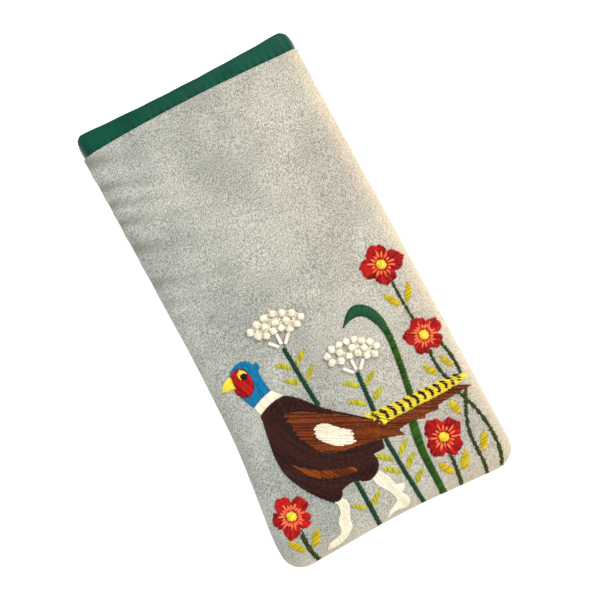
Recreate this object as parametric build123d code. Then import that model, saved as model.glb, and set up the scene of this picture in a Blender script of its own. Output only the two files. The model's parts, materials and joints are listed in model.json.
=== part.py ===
from build123d import *

import math
import os

# A soft slip-in pouch for glasses, lying on its back.
# X is across the pouch, +Y points at the open mouth, +Z is up, out of the
# embroidered front.  The origin is under the middle, on the surface it lies on.
# All lengths are in millimetres.

os.makedirs("parts", exist_ok=True)

# ---------------------------------------------------------------- sizes
THICK = 12.0            # whole pouch, lying flat and empty
SEAM_GAP = 0.3          # between the two halves, at the side and bottom seams
MID = THICK / 2         # height of the seams

FOOT_RIGHT = 46.9       # the straight side, at the foot
MOUTH_RIGHT = 47.9      # and at the mouth
MOUTH_LEFT = -43.0
WAIST = (-42.1, 0.0)    # the other side is narrowest here
FLARE = (-43.0, -38.0)  # starts to widen here
FOOT = (-47.75, -76.0)  # and is widest from here down
BOTTOM_LEFT = -90.4
BOTTOM_MIDDLE = -89.1
BOTTOM_RIGHT = -92.6
CORNER_R = 8.5          # the two bottom corners
BOTTOM_BEND_R = 300.0   # the slight bend in the bottom seam
FOOT_BEND_R = 70.0      # and the bends down the left side
FLARE_BEND_R = 200.0
WAIST_BEND_R = 400.0
PAST_MOUTH = 110.0      # outlines run on to here before the mouth is cut
ROOM = 400.0            # bigger than anything here, for trimming

VELVET_T = 1.0          # outer fabric
WADDING_T = 1.8         # soft layer
LINING_T = 0.4          # satin
EDGE_ROLL = 5.8         # how the outer fabric rolls over at the seams
ROLL_LOSS = 1.0         # each layer inside rolls this much less per millimetre

VELVET_EDGE = ((-60, 81.6), (0, 83.8), (60, 79.8))    # mouth edge of the velvet
BAND_EDGE = ((-60, 93.7), (0, 90.1), (60, 90.8))      # free edge of the satin band
BAND_FOOT = 78.0        # the band starts here, under the velvet
BAND_END_R = 4.0        # rounded ends of the band

THREAD_T = 0.6          # embroidery stands this proud of the velvet
OVER_T = 0.4            # thread worked over other thread
SEAM_MARGIN = 0.7       # no thread is worked nearer the seam than this

ROUND_BEAD_D = 2.6
BUGLE_D = 1.3
BUGLE_L = 4.2
BEAD_SINK = 0.3         # beads are pulled this far down into the pile

STITCH_L = 2.2
STITCH_PITCH = 3.0
STITCH_D = 0.4

# The embroidery has its own zero: the pouch flares to one side, so the middle
# of the drawing isn't the middle of the pouch.
DRAW_X = 1.8
DRAW_Y = 0.8


# ---------------------------------------------------------------- envelopes
def plan(inset):
    """Outline of the pouch seen from above, moved inwards by inset."""
    edge = FilletPolyline(
        (MOUTH_RIGHT, PAST_MOUTH),
        (FOOT_RIGHT, BOTTOM_RIGHT),
        (0, BOTTOM_MIDDLE),
        (FOOT[0], BOTTOM_LEFT),
        FOOT,
        FLARE,
        WAIST,
        (MOUTH_LEFT, PAST_MOUTH),
        radius=[CORNER_R, BOTTOM_BEND_R, CORNER_R, FOOT_BEND_R, FLARE_BEND_R, WAIST_BEND_R],
    )
    top = Line((MOUTH_LEFT, PAST_MOUTH), (MOUTH_RIGHT, PAST_MOUTH))
    face = make_face([*edge.edges(), top])
    if inset:
        face = offset(face, -inset, kind=Kind.INTERSECTION)
    return face


def envelope(inset):
    """Closed pillow shape, inset from the outer surface of the pouch all round."""
    slab = Pos(0, 0, inset) * extrude(plan(inset), THICK - 2 * inset)
    flat = slab.faces().filter_by(Axis.Z)
    return fillet(flat.edges(), EDGE_ROLL - ROLL_LOSS * inset)


def beyond(line):
    """Everything past a mouth line."""
    arc = ThreePointArc(*line)
    far = Polyline(line[2], (line[2][0], ROOM), (line[0][0], ROOM), line[0])
    face = make_face([*arc.edges(), *far.edges()])
    return Pos(0, 0, -ROOM / 2) * extrude(face, ROOM)


def below_y(y):
    return Pos(0, y - ROOM / 2, 0) * Box(ROOM, ROOM, ROOM)


def above_z(z):
    return Pos(0, 0, z + ROOM / 2) * Box(ROOM, ROOM, ROOM)


FRONT = above_z(MID + SEAM_GAP / 2)
BACK = Pos(0, 0, MID - SEAM_GAP / 2 - ROOM / 2) * Box(ROOM, ROOM, ROOM)


# ---------------------------------------------------------------- output
def save(name, shape):
    """One STEP file for each piece, or for each group of like pieces."""
    solids = [s for s in shape.solids() if s.volume > 0.01]
    whole = solids[0] if len(solids) == 1 else Compound(children=solids)
    whole.label = name
    export_step(whole, f"parts/{name}.step")


def save_halves(name, shape):
    save(f"front_{name}", shape & FRONT)
    save(f"back_{name}", shape & BACK)


# ---------------------------------------------------------------- fabric layers
def fabric_layers():
    outer = envelope(0)
    under_velvet = envelope(VELVET_T)
    under_wadding = envelope(VELVET_T + WADDING_T)
    cavity = envelope(VELVET_T + WADDING_T + LINING_T)

    velvet = outer - under_velvet - beyond(VELVET_EDGE)
    wadding = (under_velvet - under_wadding) & below_y(BAND_FOOT)
    lining = (under_wadding - cavity) & below_y(BAND_FOOT)
    save_halves("panel", velvet)
    save_halves("wadding", wadding)
    save_halves("lining", lining)
    save_halves("mouth_band", mouth_band(under_velvet, cavity))


def mouth_band(outside, inside):
    """Folded satin that binds the mouth and runs down between the layers."""
    ring = outside - inside - below_y(BAND_FOOT) - beyond(BAND_EDGE)
    return ring - band_end_cuts()


def band_end_cuts():
    """Rounds the band's two ends where it meets the side seams."""
    cuts = []
    for x, side in ((MOUTH_RIGHT - VELVET_T, 1), (MOUTH_LEFT + VELVET_T, -1)):
        y = line_y(BAND_EDGE, x)
        square = Pos(x - side * BAND_END_R / 2, y - BAND_END_R / 2) * Rectangle(BAND_END_R, BAND_END_R)
        disc = Pos(x - side * BAND_END_R, y - BAND_END_R) * Circle(BAND_END_R)
        slack = Pos(x + side * 3, y) * Rectangle(6, 2 * BAND_END_R)
        corner = (square + slack) - disc
        cuts.append(Pos(0, 0, -THICK) * extrude(corner, 3 * THICK))
    return cuts


def line_y(line, x):
    """Height in Y of a mouth line at x, on the parabola through its points."""
    (x0, y0), (x1, y1), (x2, y2) = line
    a = y0 * (x - x1) * (x - x2) / ((x0 - x1) * (x0 - x2))
    b = y1 * (x - x0) * (x - x2) / ((x1 - x0) * (x1 - x2))
    c = y2 * (x - x0) * (x - x1) / ((x2 - x0) * (x2 - x1))
    return a + b + c


# ---------------------------------------------------------------- plain sewing
def one_stitch(x, y, z, angle):
    return Pos(x, y, z) * Rot(0, 0, angle) * Box(STITCH_L, STITCH_D, STITCH_D)


def band_stitching():
    """Rows of topstitching on the band, just clear of the velvet's edge."""
    first = MOUTH_LEFT + 5
    count = int((MOUTH_RIGHT - 5 - first) / STITCH_PITCH) + 1
    for name, z in (("front", THICK - VELVET_T + STITCH_D / 2), ("back", VELVET_T - STITCH_D / 2)):
        row = []
        for i in range(count):
            x = first + i * STITCH_PITCH
            slope = line_y(VELVET_EDGE, x + 1) - line_y(VELVET_EDGE, x)
            angle = math.degrees(math.atan(slope))
            row.append(one_stitch(x, line_y(VELVET_EDGE, x) + 1.0, z, angle))
        save(f"{name}_band_stitching", Compound(children=row))


def seam_stitching():
    """Seam thread, lying between the two velvet panels all round but the mouth."""
    line = plan(VELVET_T / 2).wires()[0]
    thread = min(SEAM_GAP, STITCH_D) * 0.6
    count = int(line.length / STITCH_PITCH)
    row = []
    for i in range(count):
        at = (i + 0.5) / count
        point = line.position_at(at)
        along = line.tangent_at(at)
        if point.Y > VELVET_EDGE[0][1] - 2:
            continue
        angle = math.degrees(math.atan2(along.Y, along.X))
        stitch = Pos(point.X, point.Y, MID) * Rot(0, 0, angle) * Box(STITCH_L, thread, thread)
        row.append(stitch)
    save("seam_stitching", Compound(children=row))


# ---------------------------------------------------------------- drawing tools
def shape(*runs):
    """Closed face from runs of points: two points are a straight edge, more a curve."""
    edges = []
    for run in runs:
        edges += (Line(*run) if len(run) == 2 else Spline(*run)).edges()
    return make_face(edges)


def leaf(base, tip, width, rise=0.0):
    """Pointed leaf between two points.  A leaf with a rise arches upwards, or sags if it is negative."""
    dx = tip[0] - base[0]
    dy = tip[1] - base[1]
    length = math.hypot(dx, dy)
    up = math.copysign(1, dx)
    nx = -dy / length * up
    ny = dx / length * up
    mx = (base[0] + tip[0]) / 2
    my = (base[1] + tip[1]) / 2
    high = width / 2 + rise
    low = width / 2 - rise
    one = ThreePointArc(base, (mx + nx * high, my + ny * high), tip)
    two = ThreePointArc(tip, (mx - nx * low, my - ny * low), base)
    return make_face([*one.edges(), *two.edges()])


def stem(width, *points):
    line = Line(*points) if len(points) == 2 else Spline(*points)
    return trace(line, width)


def polar(centre, radius, degrees):
    angle = math.radians(degrees)
    return (centre[0] + radius * math.cos(angle), centre[1] + radius * math.sin(angle))


def teeth(start, end, count, depth):
    """Uneven stitch ends between two points, as straight runs.  They point to the left of the way."""
    dx = (end[0] - start[0]) / count
    dy = (end[1] - start[1]) / count
    length = math.hypot(dx, dy)
    points = [start]
    for i in range(count):
        out = depth * (1.0 if i % 2 else 0.6) / length
        points.append((start[0] + dx * (i + 0.55) - dy * out, start[1] + dy * (i + 0.55) + dx * out))
        points.append((start[0] + dx * (i + 1), start[1] + dy * (i + 1)))
    return [[a, b] for a, b in zip(points, points[1:])]


# ---------------------------------------------------------------- pheasant
def pheasant():
    """An ordinary cock pheasant walking left, one face for each thread colour."""
    pupil = Pos(-30.1, -17.5) * Circle(1.25)
    eye = Pos(-30.4, -16.6) * Circle(1.75)
    beak = shape(
        [(-34.4, -15.2), (-37.8, -16.4), (-40.0, -18.8)],
        [(-40.0, -18.8), (-37.6, -19.8), (-34.8, -20.0)],
        [(-34.8, -20.0), (-34.4, -15.2)],
    )
    face = make_face(Spline(
        (-34.6, -15.4), (-32.2, -14.0), (-29.4, -14.6), (-27.8, -18.0), (-28.0, -22.0),
        (-30.0, -24.4), (-33.2, -24.8), (-35.6, -20.6), periodic=True))
    head = shape(
        [(-34.6, -15.0), (-31.6, -12.7), (-28.0, -12.4), (-24.9, -15.4)],
        [(-24.9, -15.4), (-23.6, -15.0)],
        [(-23.6, -15.0), (-23.3, -16.9), (-24.5, -18.5)],
        [(-24.5, -18.5), (-24.3, -23.0), (-23.6, -26.8)],
        [(-23.6, -26.8), (-28.0, -27.8), (-32.2, -29.6)],
        [(-32.2, -29.6), (-34.2, -25.0), (-35.6, -20.2)],
        [(-35.6, -20.2), (-34.6, -15.0)],
    )
    neck_ring = shape(
        [(-32.2, -29.6), (-28.0, -27.8), (-23.6, -26.8)],
        [(-23.6, -26.8), (-20.6, -30.6)],
        [(-20.6, -30.6), (-25.5, -31.0), (-31.4, -33.2)],
        [(-31.4, -33.2), (-32.2, -29.6)],
    )
    wing_patch = shape(
        [(-16.2, -46.6), (-13.0, -46.4), (-9.4, -49.2), (-4.9, -52.9)],
        *teeth((-4.9, -52.9), (-5.6, -58.3), 4, 0.9),
        [(-5.6, -58.3), (-10.2, -57.1), (-14.7, -53.7), (-16.6, -50.8)],
        *teeth((-16.6, -50.8), (-16.2, -46.6), 3, 1.0),
    )
    tail_upper = shape(
        [(1.9, -51.0), (10.0, -51.9), (25.0, -52.8), (37.0, -53.8), (43.6, -56.2)],
        [(43.6, -56.2), (36.0, -57.6), (22.0, -57.5), (6.6, -57.8)],
        *teeth((6.6, -57.8), (3.2, -53.0), 3, -1.9),
        [(3.2, -53.0), (1.9, -51.0)],
    )
    wing_and_tail = shape(
        [(-24.2, -37.2), (-19.6, -38.0), (-12.0, -42.5), (-3.8, -47.8), (1.6, -52.4)],
        [(1.6, -52.4), (6.0, -54.8)],
        [(6.0, -54.8), (24.0, -57.2), (36.0, -57.4), (42.0, -60.0)],
        [(42.0, -60.0), (36.0, -60.2), (27.8, -60.5)],
        [(27.8, -60.5), (27.2, -62.3)],
        [(27.2, -62.3), (24.6, -61.5), (22.2, -61.4)],
        [(22.2, -61.4), (21.4, -62.7)],
        [(21.4, -62.7), (17.0, -61.4), (10.9, -61.8)],
        [(10.9, -61.8), (11.8, -64.3)],
        [(11.8, -64.3), (7.6, -62.8), (4.0, -61.9)],
        [(4.0, -61.9), (-4.0, -60.1), (-11.0, -58.8)],
        [(-11.0, -58.8), (-15.8, -57.0), (-18.8, -54.4)],
        *teeth((-18.8, -54.4), (-22.4, -46.6), 4, 0.7),
        *teeth((-22.4, -46.6), (-23.2, -38.8), 4, 0.9),
        [(-23.2, -38.8), (-24.2, -37.2)],
    )
    flank_streak = shape(
        [(-29.8, -54.6), (-24.6, -59.3), (-17.2, -63.3), (-9.8, -65.8)],
        *teeth((-9.8, -65.8), (-10.4, -67.9), 2, 0.8),
        [(-10.4, -67.9), (-15.0, -67.2), (-20.8, -65.0), (-26.4, -60.8), (-29.8, -54.6)],
    )
    body = shape(
        [(-31.4, -33.2), (-25.5, -31.0), (-20.6, -30.6)],
        [(-20.6, -30.6), (-19.0, -31.6), (-10.2, -41.0), (-1.9, -48.4), (4.4, -54.0)],
        [(4.4, -54.0), (4.2, -60.0), (3.1, -65.2)],
        [(3.1, -65.2), (-1.6, -65.2)],
        [(-1.6, -65.2), (-2.4, -70.6), (-6.4, -72.8), (-11.0, -71.0)],
        [(-11.0, -71.0), (-14.5, -70.6), (-18.0, -71.5)],
        [(-18.0, -71.5), (-20.0, -74.0), (-23.0, -73.9)],
        [(-23.0, -73.9), (-30.0, -65.0), (-34.0, -54.5), (-33.2, -43.0), (-31.4, -33.2)],
    )
    near_leg = shape(
        [(-22.8, -73.6), (-19.6, -73.6)],
        [(-19.6, -73.6), (-18.4, -77.6), (-20.0, -81.0), (-20.8, -84.4)],
        [(-20.8, -84.4), (-24.4, -87.2), (-29.0, -88.5), (-33.0, -88.2)],
        [(-33.0, -88.2), (-30.6, -86.2), (-26.0, -85.0), (-24.6, -81.0), (-22.4, -78.0), (-22.8, -73.6)],
    )
    far_leg = shape(
        [(-6.0, -72.6), (-2.6, -71.6)],
        [(-2.6, -71.6), (-0.4, -76.0), (0.2, -79.0)],
        [(0.2, -79.0), (3.2, -80.2), (0.8, -82.6)],
        [(0.8, -82.6), (2.0, -86.6), (-0.4, -88.2)],
        [(-0.4, -88.2), (-3.8, -87.6), (-8.2, -88.4)],
        [(-8.2, -88.4), (-5.6, -86.2), (-2.4, -84.8)],
        [(-2.4, -84.8), (-2.6, -81.0), (-4.4, -78.0), (-6.0, -72.6)],
    )
    return {
        "pheasant_eye_pupil": pupil,
        "pheasant_eye_ring": eye,
        "pheasant_beak": beak,
        "pheasant_face": face,
        "pheasant_head": head,
        "pheasant_neck_ring": neck_ring,
        "pheasant_wing_patch": wing_patch,
        "pheasant_tail_upper": tail_upper,
        "pheasant_wing_and_tail": wing_and_tail,
        "pheasant_flank_streak": flank_streak,
        "pheasant_body": body,
        "pheasant_near_leg": near_leg,
        "pheasant_far_leg": far_leg,
    }


BAR_COUNT = 12
BAR_FIRST = (6.0, -52.1)    # top of the first bar and of the last
BAR_LAST = (39.2, -54.0)
BAR_CROWD = 0.1             # the bars draw closer together towards the tip
BAR_FOOT = -56.6
BAR_W = 0.95


def tail_bars():
    """Dark bars across the upper tail, each a short curved stroke."""
    bars = []
    for i in range(BAR_COUNT):
        share = i / (BAR_COUNT - 1)
        share += BAR_CROWD * share * (1 - share)
        x = BAR_FIRST[0] + (BAR_LAST[0] - BAR_FIRST[0]) * share
        top = BAR_FIRST[1] + (BAR_LAST[1] - BAR_FIRST[1]) * share
        arc = ThreePointArc((x - 1.3, top), (x + 0.3, top - 1.9), (x - 0.2, BAR_FOOT))
        bars.append(trace(arc, BAR_W))
    return bars


# ---------------------------------------------------------------- flowers
# Each poppy: its eye, petal count, reach and turn in degrees.
POPPIES = {
    "poppy_top": ((34.4, -5.4), 4, 8.0, 84),
    "poppy_side": ((35.7, -35.6), 5, 7.4, 90),
    "poppy_right": ((24.1, -72.0), 4, 7.9, 24),
    "poppy_left": ((-39.0, -71.0), 5, 7.9, 100),
}
POPPY_EYE_R = 1.9
PETAL_POINTS = 90
NOTCH = 0.62            # how far out the gaps between petals reach
RAYS_PER_PETAL = 4


def petals(centre, count, reach, turn):
    """One flower with a ruffled edge and a notch between each two petals."""
    points = []
    for i in range(PETAL_POINTS):
        degrees = 360 * i / PETAL_POINTS
        way = math.radians(degrees)
        lobe = abs(math.cos(math.radians(degrees - turn) * count / 2)) ** 0.55
        ruffle = 0.035 * math.sin(11 * way + turn) + 0.025 * math.sin(19 * way + count)
        uneven = 0.05 * math.sin(2 * way + turn) + 0.04 * math.sin(3 * way + reach)
        far = reach * (NOTCH + (1 - NOTCH) * lobe) * (1 + ruffle + uneven * lobe)
        points.append(polar(centre, far, degrees))
    return make_face(Polyline(*points, close=True))


def streaks(centre, count, reach, turn):
    """Pale rays worked over the petals, from the eye of the flower outwards."""
    rays = []
    total = RAYS_PER_PETAL * count
    start = POPPY_EYE_R + 0.3
    for i in range(total):
        degrees = turn + 360 * i / total
        far = reach * (0.6 + 0.12 * math.cos(2.2 * i))
        rays.append(leaf(polar(centre, start, degrees), polar(centre, far, degrees), 0.8))
    return rays


def poppy_stems():
    return (
        stem(1.3, (34.9, -12.0), (34.7, -19.8), (35.2, -29.0))
        + stem(1.5, (34.9, -41.5), (34.4, -47.0), (35.6, -53.6))
        + stem(1.5, (39.6, -40.5), (40.9, -47.0), (40.9, -54.6))
        + stem(1.6, (36.4, -59.4), (39.4, -68.0), (40.7, -77.0), (40.2, -85.0), (37.8, -92.0))
        + stem(1.6, (39.8, -60.0), (36.0, -67.3), (33.3, -75.0), (32.8, -84.0), (31.8, -92.0))
        + stem(1.7, (23.4, -77.0), (22.9, -82.5), (21.6, -91.0))
        + stem(2.1, (-38.5, -77.0), (-38.8, -83.0), (-37.4, -90.6))
    )


SAG = -0.45             # poppy leaves hang a little


def poppy_leaves():
    return (
        leaf((34.0, -22.4), (29.7, -15.0), 2.8, SAG)
        + leaf((35.5, -22.6), (40.1, -15.2), 3.0, SAG)
        + leaf((33.8, -50.8), (29.9, -45.0), 2.8, SAG)
        + leaf((40.1, -51.0), (37.1, -44.8), 2.8, SAG)
        + leaf((34.0, -67.6), (32.6, -61.0), 3.2, SAG)
        + leaf((34.2, -83.8), (38.6, -76.4), 3.2)
        + leaf((21.6, -85.6), (17.7, -79.0), 3.2, SAG)
        + leaf((24.0, -86.2), (29.0, -79.6), 3.6, SAG)
        + leaf((-40.2, -84.8), (-45.0, -78.6), 3.2)
        + leaf((-37.6, -84.6), (-32.6, -79.2), 3.4, SAG)
    )


# ---------------------------------------------------------------- umbels
# Each umbel fans out from the top of its stem: the foot, the middle of the fan
# in degrees, and its rings of beads from the inside out.  A ring has a radius,
# a count, a spread in degrees and a lean, because the right ends are drawn in.
UMBELS = {
    "umbel_left": ((-12.1, -15.6), 80, ((7.8, 4, 70, 0.02), (10.5, 5, 92, 0.01), (13.6, 7, 92, 0.01))),
    "umbel_right": ((7.6, -37.0), 76, ((8.0, 4, 76, 0.04), (10.8, 5, 104, 0.1), (13.5, 8, 92, 0.08))),
}
RING_WOBBLE = 0.2       # hand sewing: beads stray this far off their ring
BUGLE_ANGLES = (132, 89, 46)
BUGLE_OUT = 4.0


def umbel_stems():
    left = stem(1.9, (-12.1, -15.2), (-11.7, -26.0), (-10.9, -40.0))
    left += stem(1.9, (-11.9, -70.0), (-11.8, -79.0), (-11.9, -90.4))
    right = stem(1.8, (7.5, -36.0), (6.8, -44.0), (6.0, -53.0))
    right += stem(1.8, (5.0, -60.6), (5.4, -74.0), (6.4, -90.4))
    return {"umbel_left_stem": left, "umbel_right_stem": right}


ARCH = 0.4              # umbel leaves arch upwards


def leaf_pair(x, y, spread=6.8, rise=4.8):
    """Two narrow leaves, one each side of a stem."""
    left = leaf((x - 1.1, y), (x - spread, y + rise), 2.3, ARCH)
    return left + leaf((x + 1.1, y), (x + spread, y + rise), 2.3, ARCH)


def umbel_leaves():
    left = leaf_pair(-11.9, -23.8) + leaf_pair(-11.5, -30.4) + leaf_pair(-11.9, -82.4, 6.1, 4.4)
    right = leaf((5.8, -41.6), (0.6, -37.0), 2.3, ARCH) + leaf((8.0, -42.2), (13.6, -38.4), 2.3, ARCH)
    right += leaf((5.2, -48.6), (-1.2, -43.8), 2.3, ARCH) + leaf((7.5, -48.8), (13.4, -44.8), 2.3, ARCH)
    right += leaf_pair(5.2, -71.2, 6.9, 5.2) + leaf_pair(5.4, -76.6, 6.8, 5.2)
    right += leaf((6.6, -82.6), (12.4, -78.3), 2.2, ARCH)
    return {"umbel_left_leaves": left, "umbel_right_leaves": right}


def bead_fan(foot, middle, rings):
    """Centres of the round beads: arcs about the top of the stem."""
    for radius, count, spread, lean in rings:
        for i in range(count):
            share = i / (count - 1)
            reach = (radius + RING_WOBBLE * math.sin(2.4 * i)) * (1 - lean * (1 - share))
            yield polar(foot, reach, middle + spread * (share - 0.5))


def beads(name, foot, middle, rings):
    """Round beads and bugle beads of one umbel, sewn down on the velvet."""
    above = above_z(THICK)
    radius = ROUND_BEAD_D / 2
    rounds = []
    for x, y in bead_fan(foot, middle, rings):
        ball = Pos(x + DRAW_X, y + DRAW_Y, THICK + radius - BEAD_SINK) * Sphere(radius)
        rounds.append(ball & above)
    save(f"{name}_round_beads", Compound(children=[b.solids()[0] for b in rounds]))
    bugles = []
    for degrees in BUGLE_ANGLES:
        x, y = polar(foot, BUGLE_OUT, degrees)
        rod = Rot(0, 90, 0) * Cylinder(BUGLE_D / 2, BUGLE_L)
        rod = Pos(x + DRAW_X, y + DRAW_Y, THICK + BUGLE_D / 2 - BEAD_SINK) * Rot(0, 0, degrees) * rod
        bugles.append(rod & above)
    save(f"{name}_bugle_beads", Compound(children=[b.solids()[0] for b in bugles]))


def grass_blade():
    """One broad blade that hooks over at the top and passes behind the tail."""
    upper = shape(
        [(10.4, -19.7), (13.4, -16.1), (17.2, -13.8), (21.8, -15.5), (24.5, -19.6),
         (25.8, -27.0), (25.2, -34.5), (23.7, -44.0), (22.0, -53.6)],
        [(22.0, -53.6), (19.2, -53.6)],
        [(19.2, -53.6), (21.0, -44.0), (22.3, -35.5), (22.7, -28.0), (21.3, -22.2),
         (18.8, -18.8), (15.6, -18.0), (10.4, -19.7)],
    )
    lower = shape(
        [(18.6, -60.0), (17.9, -65.0), (16.6, -71.0), (16.0, -80.0), (15.6, -91.6)],
        [(15.6, -91.6), (12.8, -91.6)],
        [(12.8, -91.6), (13.0, -80.0), (13.5, -69.0), (14.5, -63.5), (15.6, -60.0)],
        [(15.6, -60.0), (18.6, -60.0)],
    )
    return upper + lower


# ---------------------------------------------------------------- embroidery
def embroidery_faces():
    """Every worked area, from the top layer of thread down."""
    faces = {}
    for name, (centre, count, reach, turn) in POPPIES.items():
        faces[f"{name}_eye"] = Pos(*centre) * Circle(POPPY_EYE_R)
        faces[f"{name}_petals"] = petals(centre, count, reach, turn)
    faces.update(pheasant())
    faces["grass_blade"] = grass_blade()
    faces.update(umbel_stems())
    faces["poppy_stems"] = poppy_stems()
    faces.update(umbel_leaves())
    faces["poppy_leaves"] = poppy_leaves()
    return faces


def embroidery():
    surface = envelope(0)
    thread = envelope(-THREAD_T)
    over = envelope(-THREAD_T - OVER_T)
    worked = extrude(plan(SEAM_MARGIN), 2 * THICK) & FRONT
    first_layer = (thread - surface) & worked
    second_layer = (over - thread) & worked
    both_layers = (over - surface) & worked
    done = []
    for name, face in embroidery_faces().items():
        for other in done:
            if boxes_meet(face, other):
                face = face - other
        done.append(face)
        layer = both_layers if name.endswith("_eye") else first_layer
        save(name, raised(face) & layer)
    save("pheasant_tail_bars", Compound(children=worked_over(tail_bars(), second_layer)))
    for name, poppy in POPPIES.items():
        save(f"{name}_streaks", Compound(children=worked_over(streaks(*poppy), second_layer)))


def raised(face):
    """A prism on the drawing, tall enough to pass through the thread layers."""
    return Pos(DRAW_X, DRAW_Y, MID + 1) * extrude(face, THICK)


def worked_over(faces, layer):
    solids = []
    for face in faces:
        solids += (raised(face) & layer).solids()
    return solids


def boxes_meet(one, two):
    a = one.bounding_box()
    b = two.bounding_box()
    apart_x = a.max.X < b.min.X or b.max.X < a.min.X
    apart_y = a.max.Y < b.min.Y or b.max.Y < a.min.Y
    return not (apart_x or apart_y)


fabric_layers()
band_stitching()
seam_stitching()
embroidery()
for umbel, fan in UMBELS.items():
    beads(umbel, *fan)
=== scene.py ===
# %% [markdown]
# A soft slip-in pouch for glasses, lying on its back.  The real one is two
# padded walls of pale grey velvet, sewn together down the sides and across the
# bottom, lined and bound with deep green satin.  The front is worked by hand
# with stranded thread and beads.
#
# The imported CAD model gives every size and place.  Each cell below makes one
# kind of piece around it: first the cloth, then the sewing, then the
# embroidery, the beads, the finishes and the light.

import json
import math
import random

import bmesh
import bpy
import numpy as np
from mathutils import Matrix, Vector
from mathutils.bvhtree import BVHTree


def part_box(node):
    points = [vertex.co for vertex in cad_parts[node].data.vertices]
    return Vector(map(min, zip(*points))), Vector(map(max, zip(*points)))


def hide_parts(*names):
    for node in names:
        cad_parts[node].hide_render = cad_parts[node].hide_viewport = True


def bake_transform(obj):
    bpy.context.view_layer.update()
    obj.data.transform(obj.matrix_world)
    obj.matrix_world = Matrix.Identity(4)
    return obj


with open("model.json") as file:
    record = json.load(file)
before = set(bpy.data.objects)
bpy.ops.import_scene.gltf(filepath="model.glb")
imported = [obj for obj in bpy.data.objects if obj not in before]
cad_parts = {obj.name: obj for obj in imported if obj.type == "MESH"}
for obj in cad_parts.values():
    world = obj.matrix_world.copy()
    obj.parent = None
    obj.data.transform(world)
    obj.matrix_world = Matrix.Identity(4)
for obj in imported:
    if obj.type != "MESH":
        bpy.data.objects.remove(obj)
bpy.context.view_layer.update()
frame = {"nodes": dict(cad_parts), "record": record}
nodes = frame["nodes"]
MM = 0.001
chance = random.Random(7)
print("CAD nodes:", len(nodes))

# %% [markdown]
# The camera looks almost straight down on the pouch, rolled so that the mouth
# points to the upper left.  It is placed first, because it says which side of
# each piece has to look best.

# %% Camera
LOOK_AT = Vector((3.0, -0.3, 8.0)) * MM
CAMERA_HEIGHT = 400 * MM
CAMERA_TILT = math.radians(2.0)
CAMERA_ROLL = math.radians(-28.54)
LENS_MM = 64.82


def add_camera():
    data = bpy.data.cameras.new("camera")
    data.lens = LENS_MM
    data.clip_end = 20
    camera = bpy.data.objects.new("camera", data)
    bpy.context.scene.collection.objects.link(camera)
    back = Vector((0, -math.sin(CAMERA_TILT), math.cos(CAMERA_TILT)))
    across = Vector((0, 1, 0)).cross(back).normalized()
    up = back.cross(across)
    right = math.cos(CAMERA_ROLL) * across + math.sin(CAMERA_ROLL) * up
    top = math.cos(CAMERA_ROLL) * up - math.sin(CAMERA_ROLL) * across
    turn = Matrix((right, top, back)).transposed().to_4x4()
    camera.matrix_world = Matrix.Translation(LOOK_AT + CAMERA_HEIGHT * back) @ turn
    bpy.context.scene.camera = camera


add_camera()

# %% [markdown]
# A few small tools that every later cell uses.  They make a mesh object from
# points and faces, add a node to a tree with its settings and its links, make
# modifiers real, and read the shape of a CAD node.

# %% Tools
def mesh_object(name, points, faces=(), edges=()):
    mesh = bpy.data.meshes.new(name)
    mesh.from_pydata([tuple(p) for p in points], [tuple(e) for e in edges], [tuple(f) for f in faces])
    mesh.update()
    made = bpy.data.objects.new(name, mesh)
    bpy.context.scene.collection.objects.link(made)
    return made


def put(tree, kind, inputs=None, **settings):
    """Adds a node.  An input that is given a socket is linked, and any other value is set."""
    node = tree.nodes.new(kind)
    for key, value in settings.items():
        setattr(node, key, value)
    for key, value in (inputs or {}).items():
        if isinstance(value, bpy.types.NodeSocket):
            tree.links.new(value, node.inputs[key])
        else:
            node.inputs[key].default_value = value
    return node


def applied(obj):
    """The object with its modifiers made real."""
    graph = bpy.context.evaluated_depsgraph_get()
    mesh = bpy.data.meshes.new_from_object(obj.evaluated_get(graph))
    obj.modifiers.clear()
    old = obj.data
    obj.data = mesh
    bpy.data.meshes.remove(old)
    mesh.name = obj.name
    return obj


def refined(obj):
    """The object with a finer, rounder mesh."""
    finer = obj.modifiers.new("finer", "SUBSURF")
    finer.levels = finer.render_levels = 1
    return applied(obj)


def smooth(obj):
    obj.data.shade_smooth()
    return obj


def cad_arrays(name):
    """Points and triangles of a CAD node."""
    mesh = nodes[name].data
    mesh.calc_loop_triangles()
    points = np.empty(len(mesh.vertices) * 3)
    mesh.vertices.foreach_get("co", points)
    triangles = np.empty(len(mesh.loop_triangles) * 3, dtype=np.int64)
    mesh.loop_triangles.foreach_get("vertices", triangles)
    return points.reshape(-1, 3), triangles.reshape(-1, 3)


def ray_tree(name):
    points, triangles = cad_arrays(name)
    return BVHTree.FromPolygons(points.tolist(), triangles.tolist())


# %% [markdown]
# The pouch's outline is read from the CAD panel at the height of the side
# seams: rays are cast inwards all round, and stop on the cloth.  Both walls,
# the wadding and the lining are then one rule, a grid stretched over the
# outline whose height rolls over near the edge, at different insets.

# %% Measures from the frame
front_low, front_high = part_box("front_panel")
back_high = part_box("back_panel")[1]
SEAM_Z = (front_low.z + back_high.z) / 2
HALF = front_high.z - SEAM_Z
ROLL = 5.8 * MM         # how far in from the seam the cloth goes on curving over
GROW = 0.7 * MM         # rounding the cloth off takes this much away again
FAR = 0.3               # rays start this far out
OUTLINE_POINTS = 520
PAST = 12 * MM          # both ends of the outline run on past the mouth
JUST_ABOVE = 0.05 * MM  # the outline is read this far above the seam
BELOW_CROWN = 0.4 * MM  # and the velvet's end this far below the crown
LEFT_ROUND = 9 * MM     # the mouth's corners are round, so its end is read between them
RIGHT_ROUND = 7 * MM
panel_tree = ray_tree("front_panel")
band_tree = ray_tree("front_mouth_band")


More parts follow.
